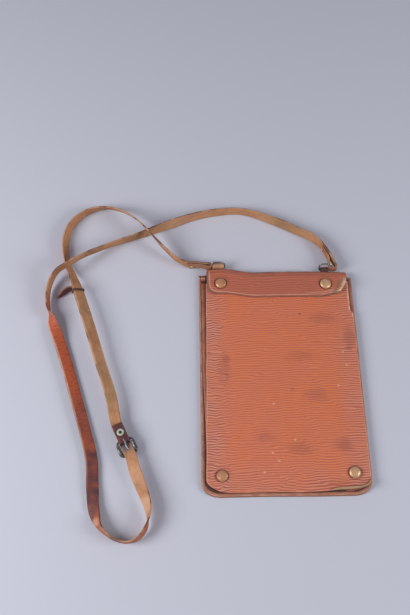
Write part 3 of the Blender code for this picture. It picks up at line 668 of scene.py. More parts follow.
def foldPlace(across, share):
    angle = pi * share
    x = mixValues(flapCut["left"], flapCut["right"], across + 0.5)
    radius = (body["flapLow"] + pillow(x, flapCut["foldCentre"])) / 2
    outward = Vector((0, sin(angle), -cos(angle)))
    middle = Vector((x, flapCut["foldCentre"] + foldPuff(x), body["backThick"] / 2 + radius))
    point = middle + outward * (radius + body["backThick"] / 2)
    y = flapCut["foldCentre"] + share * 15
    rib = ribShape(x, y, flapCut["ribSeed"])
    # Painted shade over the fold's turn, with patchy darkening
    shaded = 0.3 * hump(angle, pi * 0.6, 0.5) + 0.2 * smoothStep(wobble(x, y, 12, 5) + 0.4)
    values = {"rib": 0.55 + 0.45 * rib, "dull": 0.5, "paintedShadeAndDirt": 0.08 + shaded}
    crumple = 0.3 * wobble(x, share * 16, 7, 8) * sin(angle)
    return point, outward, (rib - 1) * 0.16 + crumple, values


def flapEnd(share):
    return flapCut["right"] - flapCut["slant"] * share ** 2.1


def flapLine(x, y, share):
    fromEnd = flapEnd(share) - x
    curl = 4 * smoothStep(1 - fromEnd / 7.5) * smoothStep(share * 2)
    crease = 0.8 * hump(fromEnd, 8.5, 1.6) * smoothStep(share * 2.5)
    pucker = 0.35 * sin(y * 2.1 + 0.2 * x) * rising(x, 38, 14) * smoothStep(share * 2.2 - 1)
    waves = 0.35 * wobble(x, y, 30, 17) + pucker
    level = body["flapLow"] + body["backThick"] + pillow(x, y)
    return level + curl - crease + waves * smoothStep(share * 4)


def flapPlace(across, share):
    left = flapCut["left"] + cornerInset((1 - share) * flapCut["drop"], flapCut["corner"])
    frayed = 0.7 * wobble(0, share * 27, 4, 12) + 0.5 * wobble(1, share * 27, 1.6, 13)
    right = flapEnd(share) + frayed * smoothStep(share * 3)
    x = mixValues(left, right, across + 0.5)
    low = flapCut["edgeMiddle"] + flapCut["leftRise"] * falling(x, -20, 50)
    low += flapCut["rightRise"] * rising(x, 56, 24) + 0.35 * wobble(x, 0, 15, 19)
    start = flapCut["foldCentre"] + foldPuff(x)
    y = mixValues(start, low, share)
    base = flapLine(x, y, share)
    step = 0.5
    slopeX = (flapLine(x + step, y, share) - base) / step
    run = (start - low) / step
    slopeY = -(flapLine(x, y - step, min(1, share + 1 / run)) - base) / step
    normal = Vector((-slopeX, -slopeY, 1)).normalized()
    fromEnd = right - x
    fromLow = y - low
    fromSide = (x - flapCut["left"] - 1 * share) * 0.78
    fromRim = min(fromSide, fromLow)
    bend = flapCut["bend"]
    if fromSide < bend and fromLow < bend:
        fromRim = bend - hypot(bend - fromSide, bend - fromLow)
    rib = ribShape(x, y, flapCut["ribSeed"])
    swell, flat = studSwell(x, y, True)
    plain = smoothStep((fromRim - flapCut["line"]) / 1.6) * rising(fromEnd, 7, 3)
    strength = 0.2 * plain * (1 - 0.8 * flat)
    lip = smoothStep((flapCut["line"] - 0.4 - fromRim) / 0.6)
    ridge = hump(fromRim, flapCut["line"], 0.36)
    wrinkles = hump(fromLow, 5.2, 0.6) * rising(x, 34, 14) * rising(fromEnd, 4, 3)
    relief = (rib - 1) * strength + swell * 0.9 - 0.45 * lip + 0.2 * ridge + 0.2 * wrinkles
    low = smoothStep(share * 3 - 0.15)
    torn = falling(fromEnd, 4.8, 1.4) * low
    # The crease beside the curled end gets painted shade and an olive tint
    creaseShadeAndTint = hump(fromEnd, 7.2, 1.8) * smoothStep(share * 2.6 - 0.05)
    worn = 0.6 + 0.4 * smoothStep(0.6 + 1.2 * wobble(x, y, 10, 23))
    threads = smoothStep(0.35 + 2.2 * wobble(x * 2, y * 0.5, 2.2, 27))
    # Painted shade in the crease, under the lower lip, round the studs and where the flap leaves the
    # fold; darker between the torn threads
    values = {
        "rib": mixValues(0.75, rib, min(1, strength / 0.2)),
        "dull": min(1, 0.2 + 0.75 * falling(fromSide, 4.4, 2.5) + 0.5 * lip),
        "rub": min(1, 0.68 * ridge * worn + torn * (0.55 + 0.45 * threads) + 0.45 * wrinkles * worn),
        "paintedShadeAndDirt": min(1, 0.6 * creaseShadeAndTint + 0.5 * lip + 0.75 * studShade(x, y) + 0.3 * torn * (1 - threads)
                    + 0.3 * smoothStep(1 - share * 9)),
        "olive": min(1, 0.45 * creaseShadeAndTint + torn * smoothStep(0.9 - share * 1.6) * 0.7),
    }
    return Vector((x, y, base)), normal, relief, values


def backAndFlapPlace(across, along):
    rows = flapCut["rows"]
    row = (along + 0.5) * sum(rows)
    if row <= rows[0]:
        return backPlace(across, row / rows[0])
    row -= rows[0]
    if row <= rows[1]:
        return foldPlace(across, row / rows[1])
    return flapPlace(across, (row - rows[1]) / rows[2])


def makeBackAndFlap():
    rows = sum(flapCut["rows"])
    mesh = growSheet(flapCut["columns"], rows, 4, backAndFlapPlace, body["backThick"], 0.3)
    finishPiece("backAndFlap", mesh, "flap", ["back_and_flap"])


pocketCut = {
    "left": -91.7, "right": 92.6, "bottom": -135.2, "top": 132, "corner": 19, "grid": (90, 136, 2),
}


def pocketPlace(across, along):
    y = mixValues(pocketCut["bottom"], pocketCut["top"], along + 0.5)
    inset = cornerInset(y - pocketCut["bottom"], pocketCut["corner"])
    left = pocketCut["left"] + 2.6 * falling(y, 30, 120) + inset + 0.25 * wobble(0, y, 18, 41)
    right = pocketCut["right"] - inset
    x = mixValues(left, right, across + 0.5)
    z = body["pocketLow"] + body["pocketThick"] + pillow(x, y)
    fromEdge = min(x - left, right - x, y - pocketCut["bottom"])
    worn = smoothStep(0.5 + wobble(x, y, 11, 43))
    # Painted shade under the cover's edges, darkening the pocket inward of its bare strip
    paintedShade = rising(min(x - left, 9), 3.6, 0.8) if x <= 0 else rising(right - x, 8, 1.5)
    values = {"rub": 0.35 * worn * falling(fromEdge, 1.5, 1.5), "paintedShadeAndDirt": paintedShade}
    return caseWarp(Vector((x, y, z))), up, 0.08 * wobble(x, y, 4, 42), values


def makePocket():
    mesh = growSheet(*pocketCut["grid"], pocketPlace, body["pocketThick"], 0.3)
    finishPiece("pocketFront", mesh, "pocket", ["pocket_front"])


weltCut = {
    "step": 0.5, "low": 2.1, "thick": 1.6, "wide": 8, "tops": (143.6, 134), "corner": 18,
    "rows": 540, "columns": 16, "high": 136, "pull": 1.93,
}


def rimPath(step, radius, tops, count):
    # Points and inward directions round the body's three sewn edges, evenly spaced
    half = body["width"] / 2 - step
    low = -body["length"] / 2 + step
    bend = radius - step
    arc = pi / 2 * bend
    lengths = (tops[0] - low - bend, arc, 2 * (half - bend), arc, tops[1] - low - bend)
    stations = []
    for index in range(count + 1):
        run = sum(lengths) * index / count
        part = 0
        while part < 4 and run > lengths[part]:
            run -= lengths[part]
            part += 1
        if part in (0, 4):
            side = -1 if part == 0 else 1
            y = tops[0] - run if part == 0 else low + bend + run
            stations.append((Vector((side * half, y, 0)), Vector((-side, 0, 0))))
        elif part == 2:
            stations.append((Vector((-half + bend + run, low, 0)), Vector((0, 1, 0))))
        else:
            side = -1 if part == 1 else 1
            turn = run / bend
            angle = turn if part == 1 else pi / 2 - turn
            outward = Vector((side * cos(angle), -sin(angle), 0))
            centre = Vector((side * (half - bend), low + bend, 0))
            stations.append((centre + outward * bend, -outward))
    return stations


weltStations = rimPath(weltCut["step"], weltCut["corner"], weltCut["tops"], weltCut["rows"])


def weltPlace(across, along):
    index = min(weltCut["rows"], max(0, round((along + 0.5) * weltCut["rows"])))
    point, inward = weltStations[index]
    reach = (across + 0.5) * weltCut["wide"]
    uneven = 0.22 * wobble(point.x + 200, point.y, 14, 51) * (1 - across)
    spot = point + inward * (reach + uneven) + up * (weltCut["low"] + weltCut["thick"])
    # A groove runs just inside the rim, and the sewing draws the rim in at every stitch
    rimWide = 3.7 - 1.2 * rising(spot.y, -60, 150) * smoothStep(-spot.x / 20)
    groove = hump(reach, rimWide + 0.4, 0.5)
    pull = 0.12 * cos(2 * pi * index / weltCut["pull"]) * hump(reach, 1.7, 1.2)
    crown = -0.35 * (max(0, 1.3 - reach) / 1.3) ** 2
    relief = -0.95 * groove + pull + crown + 0.1 * wobble(spot.x, spot.y, 3, 52)
    worn = smoothStep(0.45 + 1.2 * wobble(spot.x, spot.y, 13, 53))
    # Painted shade in the groove and under the pocket's edge
    paintedShade = smoothStep((reach - rimWide + 0.2) / 0.5)
    values = {"paintedShadeAndDirt": paintedShade, "rub": 0.45 * worn * hump(reach, 0.8, 0.9)}
    # At the top end the mark is a painted shadow line, with a pale rubbed band below it
    if spot.y > weltCut["high"]:
        values = {"paintedShadeAndDirt": 0.9 * hump(spot.y, 142.6, 1), "rub": 0.8 * hump(spot.y, 139.6, 0.8)}
    return caseWarp(spot), up, relief, values


# The end of the back under the rim's upper left end
tab = {"middle": Vector((-90.3, 138.6, 2)), "wide": 8.2, "long": 9.6, "thick": 1.9}


def tabPlace(across, along):
    spot = tab["middle"] + Vector((tab["wide"] * across, tab["long"] * along, 0))
    return caseWarp(spot), up, 0.1 * wobble(spot.x, spot.y, 3, 57), {"paintedShadeAndDirt": 0.25}


def makeWelt():
    mesh = growSheet(weltCut["columns"], weltCut["rows"], 1, weltPlace, weltCut["thick"], 0.3)
    finishPiece("edgeWelt", mesh, "rim", ["edge_welt"])
    mesh = growSheet(8, 12, 1, tabPlace, tab["thick"], 0.3)
    finishPiece("rimTab", mesh, "rim", [])


stitching = {
    "inset": 1.9, "pitch": 2.75, "long": 1.9, "radius": 0.32, "height": 3.72, "around": 8, "sides": 6,
    "run": 721, "tops": (128, 128), "missing": 0.12, "seed": 5,
}


def makeStitches():
    # Short worn stitches across the rim, as one joined mesh
    count = round(stitching["run"] / stitching["pitch"])
    picker = random.Random(stitching["seed"])
    mesh = bmesh.new()
    for point, inward in rimPath(weltCut["step"], weltCut["corner"], stitching["tops"], count):
        if picker.random() < stitching["missing"]:
            continue
        turn = atan2(inward.y, inward.x) + picker.uniform(-0.2, 0.2)
        length = stitching["long"] * picker.uniform(0.75, 1.1)
        high = stitching["height"] + picker.uniform(-0.12, 0.05)
        spot = point + inward * stitching["inset"] + up * high
        ball = {"u_segments": stitching["around"], "v_segments": stitching["sides"], "radius": 1}
        made = bmesh.ops.create_uvsphere(mesh, **ball)["verts"]
        thin = stitching["radius"]
        bmesh.ops.scale(mesh, vec=(thin, thin, length / 2), verts=made)
        bmesh.ops.rotate(mesh, matrix=Matrix.Rotation(pi / 2, 3, "Y"), verts=made)
        bmesh.ops.rotate(mesh, matrix=Matrix.Rotation(turn, 3, "Z"), verts=made)
        bmesh.ops.translate(mesh, vec=caseWarp(spot), verts=made)
    finishPiece("rimStitches", mesh, "thread", [])


makeCover()
makeBackAndFlap()
makePocket()
makeWelt()
makeStitches()
print("case body done")


# Press studs

studShape = {
    "reach": 7, "gap": 0.5, "high": 2.7, "steps": 56, "post": 2,
    "lip": ((-0.7, -0.1), (-0.1, 0.05), (0, 0.35), (-0.12, 0.7)),
}


def studFrame(x, y, onFlap):
    # Where a stud stands on the leather, and how it leans with the pillow under it
    level = body["flapLow"] + body["backThick"] if onFlap else body["coverLow"] + body["coverThick"]
    reach = studShape["reach"]
    slopeX = (pillow(x + reach, y) - pillow(x - reach, y)) / (2 * reach)
    slopeY = (pillow(x, y + reach) - pillow(x, y - reach)) / (2 * reach)
    axis = Vector((-slopeX, -slopeY, 1)).normalized()
    turn = up.rotation_difference(axis).to_matrix().to_4x4()
    return Matrix.Translation((x, y, level + pillow(x, y))) @ turn


def spinProfile(mesh, outline, steps):
    # Turns an outline of (radius, height) about the Z axis into one closed skin
    row = [mesh.verts.new((radius, 0, height)) for radius, height in outline]
    edges = [mesh.edges.new(pair) for pair in zip(row, row[1:])]
    turning = {"cent": (0, 0, 0), "axis": up, "angle": 2 * pi, "steps": steps, "use_merge": True}
    bmesh.ops.spin(mesh, geom=row + edges, **turning)
    bmesh.ops.remove_doubles(mesh, verts=mesh.verts, dist=0.0005)


def makeStuds():
    for name, (x, y, onFlap, dent, radius, metal) in studs.items():
        base = studShape["gap"]
        high = studShape["high"]
        thick = body["backThick"] if onFlap else body["coverThick"]
        post = studShape["post"]
        outline = [(0, -thick), (post, -thick), (post, base)]
        outline += [(radius + aside, base + above) for aside, above in studShape["lip"]]
        for step in range(1, 15):
            share = step / 14
            angle = share * pi / 2
            above = base + 0.8 + (high - 0.8) * sin(angle) ** 1.15
            outline.append(((radius - 0.35) * cos(angle) ** 0.8, above))
        outline[-1] = (0, base + high)
        mesh = bmesh.new()
        spinProfile(mesh, outline, studShape["steps"])
        marks = mesh.verts.layers.float.new("paintedShadeAndDirt")
        for vert in mesh.verts:
            away = hypot(vert.co.x, vert.co.y)
            if vert.co.z > base + 0.6:
                knock = wobble(vert.co.x + x, vert.co.y + y, 2.6, 61) - 0.4 * hump(away, 0, 2.5)
                vert.co.z += dent * knock * falling(away, radius, 2)
            # Painted shade on the cap's foot, where it meets the leather
            vert[marks] = smoothStep((base + 0.55 - vert.co.z) / 0.4)
        mesh.transform(studFrame(x, y, onFlap))
        finishPiece(name + "_cap", mesh, metal, [name])


makeStuds()
print("studs done")


# Strap

strapCut = {"wide": 13, "thick": 2, "pair": 2.5, "step": 1.4, "columns": 12}
# x, y, z of the middle line, lean about the run, and the width where it isn't the strap's own
longRows = (
    (64.4, 179.5, 7.2, -90, 12), (69, 168, 7.8, -90, 11), (70.6, 160, 8.8, -90, 9),
    (70.6, 154, 8.9, -90, 8.6), (71.6, 149.4, 8.9, -90, 8.6), (75.4, 146.2, 8.9, -90, 8.6),
    (79.2, 147.6, 8.9, -90, 8.6), (79, 151.4, 8.9, -90, 8.6), (77, 156.5, 8.6, -88, 9.5),
    (73.2, 165, 7.8, -86, 11.5), (67.4, 177, 7.1, -84), (56, 191.5, 7, -74), (34, 204.8, 6.8, -68),
    (0, 222.5, 6.8, -72), (-39, 236, 7, -84), (-72, 235, 7, -80), (-105, 228, 6.8, -74),
    (-132, 218.5, 6.4, -62), (-151, 211, 6.8, -74), (-162, 206.5, 6.9, -80), (-171, 203, 6.9, -85),
    (-196, 194, 7.5, -93), (-221, 182, 11.5, -97), (-244, 168, 17.5, -97), (-260, 155.5, 21.5, -95),
    (-273, 148, 18, -91), (-282.5, 134, 11.5, -84), (-285, 113, 8, -80), (-282.6, 97, 7.6, -86),
    (-277.6, 82, 7.4, -150), (-270, 62, 5.6, -188, 14), (-258, 27, 4.6, -197, 14.3),
    (-244.2, -19, 4.6, -197, 14.2), (-233, -57, 4.2, -192, 14), (-224, -93, 3.7, -184, 14.2),
    (-221.8, -128, 3.5, -176, 14.2), (-218, -156, 5, -148, 13.5), (-211.5, -170, 6.8, -108),
    (-195, -183.5, 7.6, -90), (-183, -187, 7.8, -86), (-168.5, -182.5, 8.6, -96),
    (-160, -171, 9.6, -96), (-157.4, -157, 10.2, -70), (-159.4, -144, 10.3, -48, 13.5),
    (-164.5, -130, 10.4, -32, 14), (-173.5, -107, 10.9, -14, 14),
)
throughBuckle = ((20, 11.3), (16.5, 11), (10, 9.6), (6, 8.3), (3, 7), (0, 6.1))
tipRows = (
    (-249, 126.5, 11.3, 40, 12.5), (-252, 128.8, 9.4, 64, 12), (-257.5, 127.6, 7.8, 90, 11.2),
    (-264, 124, 6.4, 104, 9.4), (-269.5, 120.4, 4.6, 108, 6.2), (-274.4, 116.8, 2.4, 108, 1),
)
shortRowsStart = (
    (-108, 156.3, 7.4, -90, 12), (-100, 155.9, 8.2, -90, 10.5), (-92, 154.9, 8.9, -90, 9),
    (-86, 152.9, 8.9, -90, 8.6), (-81.2, 152.1, 8.9, -90, 8.6), (-78.2, 154.5, 8.9, -90, 8.6),
    (-81.2, 156.9, 8.9, -90, 8.6), (-86, 157, 8.9, -90, 8.6), (-92, 157.7, 9, -90, 9.5),
    (-100, 158.5, 8, -90, 11.5), (-108, 159, 7.3, -90), (-120, 163.5, 9, -92),
    (-137.5, 178, 14.5, -97), (-149.5, 190.5, 19, -103), (-160.5, 203.5, 21.5, -108),
    (-169, 213.5, 21.2, -110), (-177.5, 222.5, 19, -112), (-197, 238, 12.5, -112),
    (-217, 245, 8, -108), (-231, 243.5, 7, -98), (-247, 235, 6.8, -83), (-260, 220, 6.8, -70),
    (-266, 201, 6.7, -64), (-266, 183, 6.6, -62), (-262, 163, 6.6, -60), (-255, 145, 9.5, -50),
    (-246, 121, 15, -33), (-241, 106, 16.5, -28), (-232, 78, 17, -25), (-216, 26, 15, -25),
    (-201, -23, 13, -15),
)
keeperRow = 26
shortToBuckle = ((-22, 10.6), (-10, 9.4), (-4, 8.6), (0, 8.5))
shortTurned = ((-4, 12.8), (-6, 12.2), (-15, 12.2), (-21, 12.9))
buckle = {
    "at": Vector((-186.4, -72, 0)), "heading": radians(-66), "wide": 18.4, "long": 16.5,
    "bar": 1.35, "flat": 0.75, "corner": 3, "heelHigh": 11, "frontHigh": 8.5, "wrap": 2.5,
}
buckleRun = Vector((cos(buckle["heading"]), sin(buckle["heading"]), 0))
buckleSide = up.cross(buckleRun)


def bucklePoint(along, height, across=0):
    return buckle["at"] + buckleRun * along + buckleSide * across + up * height


def smoothRows(rows, spacing):
    # Reads a smooth curve through the rows, every column at once
    values = [Vector(row[:3]) for row in rows]
    places = [0]
    for near, far in zip(values, values[1:]):
        places.append(places[-1] + (far - near).length)
    slopes = []
    for index, row in enumerate(rows):
        before = max(0, index - 1)
        after = min(len(rows) - 1, index + 1)
        slope = []
        for column in range(len(row)):
            parts = []
            for near, far in ((before, index), (index, after)):
                if near != far:
                    run = places[far] - places[near]
                    parts.append(((rows[far][column] - rows[near][column]) / run, run))
            if len(parts) == 1:
                slope.append(parts[0][0])
            else:
                (first, back), (second, ahead) = parts
                slope.append((first * ahead + second * back) / (back + ahead))
        slopes.append(slope)
    made = []
    for index in range(len(rows) - 1):
        run = places[index + 1] - places[index]
        steps = max(2, round(run / spacing))
        for step in range(steps):
            share = step / steps
            square = share * share
            cube = square * share
            start = 2 * cube - 3 * square + 1
            leave = cube - 2 * square + share
            arrive = cube - square
            row = []
            for column in range(len(rows[0])):
                value = start * rows[index][column] + (1 - start) * rows[index + 1][column]
                value += (leave * slopes[index][column] + arrive * slopes[index + 1][column]) * run
                row.append(value)
            made.append(tuple(row))
    made.append(tuple(rows[-1]))
    return made


def sectionsFrom(rows):
    # Middle, across, face and width of each section; the face is the flesh side
    points = [Vector(row[:3]) for row in rows]
    sections = []
    for index, row in enumerate(rows):
        run = (points[min(len(points) - 1, index + 1)] - points[max(0, index - 1)]).normalized()
        level = up.cross(run).normalized()
        above = run.cross(level)
        lean = radians(row[3])
        across = level * cos(lean) + above * sin(lean)
        sections.append((points[index], across, run.cross(across), row[4]))
    return sections


def fillWidths(rows):
    return [(*row, strapCut["wide"])[:5] for row in rows]


def buckleRows(pairs):
    return [(*bucklePoint(*pair), 0, strapCut["wide"]) for pair in pairs]


def shortRows():
    return fillWidths(shortRowsStart) + buckleRows(shortToBuckle)


def shortSections():
    sections = sectionsFrom(smoothRows(shortRows(), strapCut["step"]))
    turn = []
    for step in range(1, 12):
        angle = pi * step / 12
        turn.append((buckle["wrap"] * sin(angle), buckle["heelHigh"] - buckle["wrap"] * cos(angle)))
    turn.append((0, buckle["heelHigh"] + buckle["wrap"]))
    ends = smoothRows(buckleRows((turn[-1], *shortTurned)), strapCut["step"])
    places = [bucklePoint(*pair) for pair in turn[:-1]] + [Vector(row[:3]) for row in ends]
    before = sections[-1][0]
    for index, place in enumerate(places):
        run = (places[min(index + 1, len(places) - 1)] - before).normalized()
        sections.append((place, buckleSide, run.cross(buckleSide), strapCut["wide"]))
        before = place
    return sections


def longAllRows():
    rows = fillWidths(longRows) + buckleRows(throughBuckle)
    under = shortRows()
    sections = sectionsFrom(under)
    for index in range(len(under) - 3, keeperRow - 1, -1):
        point, _, face, _ = sections[index]
        rows.append((*(point - face * strapCut["pair"]), -under[index][3], strapCut["wide"]))
    return rows + list(tipRows)


def longSections():
    return sectionsFrom(smoothRows(longAllRows(), strapCut["step"]))


# Places along the straps with their own wear, darkening and tint, where the buckle's darkening is a
# stain with painted shade round the prong's hole: x, y, reach, strength
strapWear = {
    "dark": ((-236, -60, 50, 0.6), (-222, -118, 48, 1.1), (-196, -185, 9, 0.9),
             (-187, -60, 22, 1.3), (-95, 156, 24, 0.9),
             (-266, 123, 16, 1), (74, 150, 8, 0.7)),
    "olive": ((-205, -176, 11, 0.6), (-205, 0, 40, 0.35), (-235, 90, 30, 0.3),
              (-150, 200, 30, 0.25), (20, 214, 30, 0.4)),
    "rub": ((-215, -163, 4.5, 0.55), (-160, -146, 9, 0.55), (-120, 224, 26, 0.2),
            (-170, -112, 16, 0.25)),
    "paintedShadeAndDirt": ((-184, -79, 8.5, 1.1), (-187, -72, 9, 1.1)),
    "fade": ((-96, 156, 24, 0.9), (68, 164, 24, 0.85), (-206, -175, 9, 0.8),
             (-170, -183, 14, 0.5)),
    "ruddy": ((-285, 98, 20, 0.95),),
}
# The rubbed border along one edge of the long left run: x, y, reach, strength
paleBorder = ((-280, 70, 45, 0.75), (-252, 5, 60, 0.7), (-226, -80, 40, 0.45))


def wearAt(point, places):
    total = 0
    for x, y, reach, strength in places:
        away = hypot(point.x - x, point.y - y) / reach
        total = max(total, strength * smoothStep(1.4 - away))
    return total * (0.8 + 0.4 * wobble(point.x, point.y, 9, 71))


def makeStrap(name, sections, nodes, seed):
    rows = len(sections) - 1
    lengths = [0]
    for near, far in zip(sections, sections[1:]):
        lengths.append(lengths[-1] + (far[0] - near[0]).length)

    def strapPlace(across, along):
        spot = min(rows, max(0, (along + 0.5) * rows))
        low = min(rows - 1, int(spot))
        share = spot - low
        near, far = sections[low], sections[low + 1]
        point = near[0].lerp(far[0], share)
        side = near[1].lerp(far[1], share).normalized()
        face = near[2].lerp(far[2], share).normalized()
        run = mixValues(lengths[low], lengths[low + 1], share)
        wide = mixValues(near[3], far[3], share) + 0.35 * wobble(run, 0, 17, seed)
        offset = across * wide
        # Old straps cup a little and their edges wander
        cup = 0.3 * (2 * across) ** 2 * (0.5 + wobble(run, 3, 45, seed + 1))
        wave = 0.16 * wobble(run, offset, 9, seed + 2) + 0.1 * wobble(run, offset * 0.4, 2.6, seed + 3)
        point = point + side * offset + face * (strapCut["thick"] / 2 + cup * 0.5)
        values = {key: min(1, max(0, wearAt(point, places))) for key, places in strapWear.items()}
        values["rub"] = max(values["rub"], rising(across, 0.36, 0.08) * wearAt(point, paleBorder))
        return point, face, wave * 0.7, values

    mesh = growSheet(strapCut["columns"], rows, 1, strapPlace, strapCut["thick"], 0.3)
    flow = mesh.loops.layers.uv["flow"]
    for face in mesh.faces:
        for loop in face.loops:
            across, along = loop[flow].uv
            index = min(rows, max(0, round((along + 0.5) * rows)))
            loop[flow].uv = (across * strapCut["wide"] * mm, lengths[index] * mm)
    finishPiece(name, mesh, "strap", nodes)


makeStrap("longStrap", longSections(), ["strap_long"], 81)
makeStrap("shortStrap", shortSections(), ["strap_short"], 91)
print("straps done")


# Rings, buckle and small leather

def drawWire(mesh, points, normal, radius, closed, sides=14, wear=0, flats=None):
    # A wire along points that lie in one plane, section after section; flats widens it in that plane
    count = len(points)
    sections = []
    for index, point in enumerate(points):
        before = points[index - 1] if closed or index else point
        after = points[(index + 1) % count] if closed or index < count - 1 else point
        tangent = (after - before).normalized()
        turn = Matrix((tangent.cross(normal), normal, tangent)).transposed().to_4x4()
        if flats:
            turn = turn @ Matrix.Diagonal((flats[index], 1, 1, 1))
        thin = radius * (1 + wear * wobble(point.x * 3, point.y * 3, 7, point.z))
        ring = {"segments": sides, "radius": thin, "matrix": Matrix.Translation(point) @ turn}
        verts = bmesh.ops.create_circle(mesh, **ring)["verts"]
        sections.append([verts[0].link_edges[0]])
        while len(sections[-1]) < sides:
            last = sections[-1][-1]
            nearby = (edge for vert in last.verts for edge in vert.link_edges)
            sections[-1].append(next(edge for edge in nearby if edge not in sections[-1]))
    pairs = list(zip(sections, sections[1:]))
    if closed:
        pairs.append((sections[-1], sections[0]))
    for near, far in pairs:
        bmesh.ops.bridge_loops(mesh, edges=near + far)
    if not closed:
        for ends in (sections[0], sections[-1]):
            bmesh.ops.holes_fill(mesh, edges=ends, sides=sides)


def roundedLoop(wide, tall, footCorner, topCorner, steps):
    corners = (
        (wide / 2 - footCorner, footCorner, footCorner, -90),
        (wide / 2 - topCorner, tall - topCorner, topCorner, 0),
        (-wide / 2 + topCorner, tall - topCorner, topCorner, 90),
        (-wide / 2 + footCorner, footCorner, footCorner, 180),
    )
    points = []
    for across, height, radius, start in corners:
        for step in range(steps + 1):
            angle = radians(start + 90 * step / steps)
            points.append((across + radius * cos(angle), height + radius * sin(angle)))
    return points


ringShape = {"tall": 15, "wire": 1, "topCorner": 6, "footCorner": 2, "foot": 3.2, "lean": 6}
# Ring's x, y and width; leather loop's x, width, near y, far y, top and leather; the right loop's dark
# leather is painted shade inside its ring
ringPlaces = {
    "left": (-71.4, 154.5, 20, -70.5, 14.6, 151.3, 157.7, 12.4, "tan"),
    "right": (66, 149, 18, 64.6, 9.2, 144.2, 151.9, 6.1, "dark"),
}
chapeShape = {"thick": 1.5, "corner": 2.4, "gap": 0.3}


def makeRing(side, x, y, wide):
    lean = radians(ringShape["lean"])
    rise = Vector((0, sin(lean), cos(lean)))
    wire = ringShape["wire"]
    tall = ringShape["tall"] - 2 * wire
    loop = roundedLoop(wide - 2 * wire, tall, ringShape["footCorner"], ringShape["topCorner"], 9)
    foot = Vector((x, y, ringShape["foot"]))
    points = [foot + Vector((across, 0, 0)) + rise * height for across, height in loop]
    mesh = bmesh.new()
    drawWire(mesh, points, Vector((1, 0, 0)).cross(rise), wire, True, wear=0.12)
    finishPiece(side + "Ring", mesh, "greySteel", ["ring_" + side])


def makeChape(side, centre, wide, near, far, top, leather):
    # A folded leather loop, as a flat strip wrapped round into a closed band
    thick = chapeShape["thick"]
    gap = chapeShape["gap"]
    middle = (near + far) / 2
    corner = chapeShape["corner"]
    mesh = bmesh.new()
    bands = []
    for inset in (0, thick):
        bend = corner - inset
        points = roundedLoop(far - near - 2 * inset, top - gap - 2 * inset, bend, bend, 7)
        high = gap + inset
        made = []
        for end in (-0.5, 0.5):
            row = [mesh.verts.new((centre + end * wide, middle + a, high + h)) for a, h in points]
            made.append([mesh.edges.new(pair) for pair in zip(row, row[1:] + row[:1])])
        bmesh.ops.bridge_loops(mesh, edges=made[0] + made[1])
        bands.append(made)
    for end in (0, 1):
        bmesh.ops.bridge_loops(mesh, edges=bands[0][end] + bands[1][end])
    crossing = [edge for edge in mesh.edges if abs(edge.verts[0].co.x - edge.verts[1].co.x) > 1]
    bmesh.ops.subdivide_edges(mesh, edges=crossing, cuts=7)
    for vert in mesh.verts:
        x, y, z = vert.co
        vert.co += 0.12 * Vector((wobble(y, z, 3, 5), 0, wobble(x, y, 3, 6)))
    finishPiece(side + "Chape", mesh, leather, ["chape_" + side])


def makeRingsAndChapes():
    for side, (x, y, wide, *chape) in ringPlaces.items():
        makeRing(side, x, y, wide)
        makeChape(side, *chape)


prong = {"radius": 1.1, "middle": ((5, 10.9), (9.4, 11)), "tip": (14, 8), "turn": (230, 63), "gap": 0.3}


def makeBuckle():
    drop = (buckle["frontHigh"] - buckle["heelHigh"]) / buckle["long"]
    down = Vector((buckleRun.x, buckleRun.y, drop))
    loop = roundedLoop(buckle["wide"], buckle["long"], buckle["corner"], buckle["corner"], 8)
    heel = bucklePoint(0, buckle["heelHigh"])
    points = [heel + buckleSide * across + down * along for across, along in loop]
    mesh = bmesh.new()
    flats = [1 + buckle["flat"] * rising(along, 1.5, 3) for across, along in loop]
    normal = buckleSide.cross(down).normalized()
    drawWire(mesh, points, normal, buckle["bar"], True, wear=0.15, flats=flats)
    finishPiece("buckleFrame", mesh, "wornIron", ["buckle_frame"])
    wrap = buckle["bar"] + prong["gap"] + prong["radius"]
    points = []
    for step in range(17):
        angle = radians(mixValues(*prong["turn"], step / 16))
        points.append(bucklePoint(wrap * cos(angle), buckle["heelHigh"] + wrap * sin(angle)))
    points += [bucklePoint(*spot) for spot in prong["middle"]] + [bucklePoint(*prong["tip"])]
    mesh = bmesh.new()
    drawWire(mesh, points, buckleSide, prong["radius"], False, wear=0.1)
    finishPiece("bucklePin", mesh, "greySteel", ["buckle_prong"])


eyelet = {
    "along": -10, "flange": 4.3, "tube": 2.2, "hole": 1.5,
    "lip": ((0, 0), (0, 0.2), (-0.5, 0.6), (-1.2, 0.85), (-2.1, 0.75)),
}


def makeEyelet():
    low = shortToBuckle[1][1] - strapCut["thick"] / 2
    top = shortTurned[1][1] + strapCut["thick"] / 2 + 0.4
    tube = eyelet["tube"]
    hole = eyelet["hole"]
    outline = [(0, low), (tube, low), (tube, top)]
    outline += [(eyelet["flange"] + aside, top + above) for aside, above in eyelet["lip"]]
    outline += [(hole + 0.2, top + 0.4), (hole, top), (hole, low + 0.6), (0, low + 0.6)]
    mesh = bmesh.new()
    spinProfile(mesh, outline, 40)
    marks = mesh.verts.layers.float.new("paintedShadeAndDirt")
    for vert in mesh.verts:
        away = hypot(vert.co.x, vert.co.y)
        # Painted shade down in the eyelet's hole
        vert[marks] = falling(away, hole + 0.5, 0.3)
        if away > 2.4:
            vert.co.z += 0.12 * wobble(vert.co.x, vert.co.y, 1.2, 33)
    bmesh.ops.translate(mesh, vec=bucklePoint(eyelet["along"], 0), verts=mesh.verts)
    finishPiece("strapEyelet", mesh, "greenBrass", ["chape_eyelet"])


rivetShape = {
    "head": 2.3, "shank": 1, "gap": 0.3,
    "dome": ((-2.3, 0.9), (-1.2, 0.85), (-0.4, 0.6), (0, 0.2), (0, 0)),
}
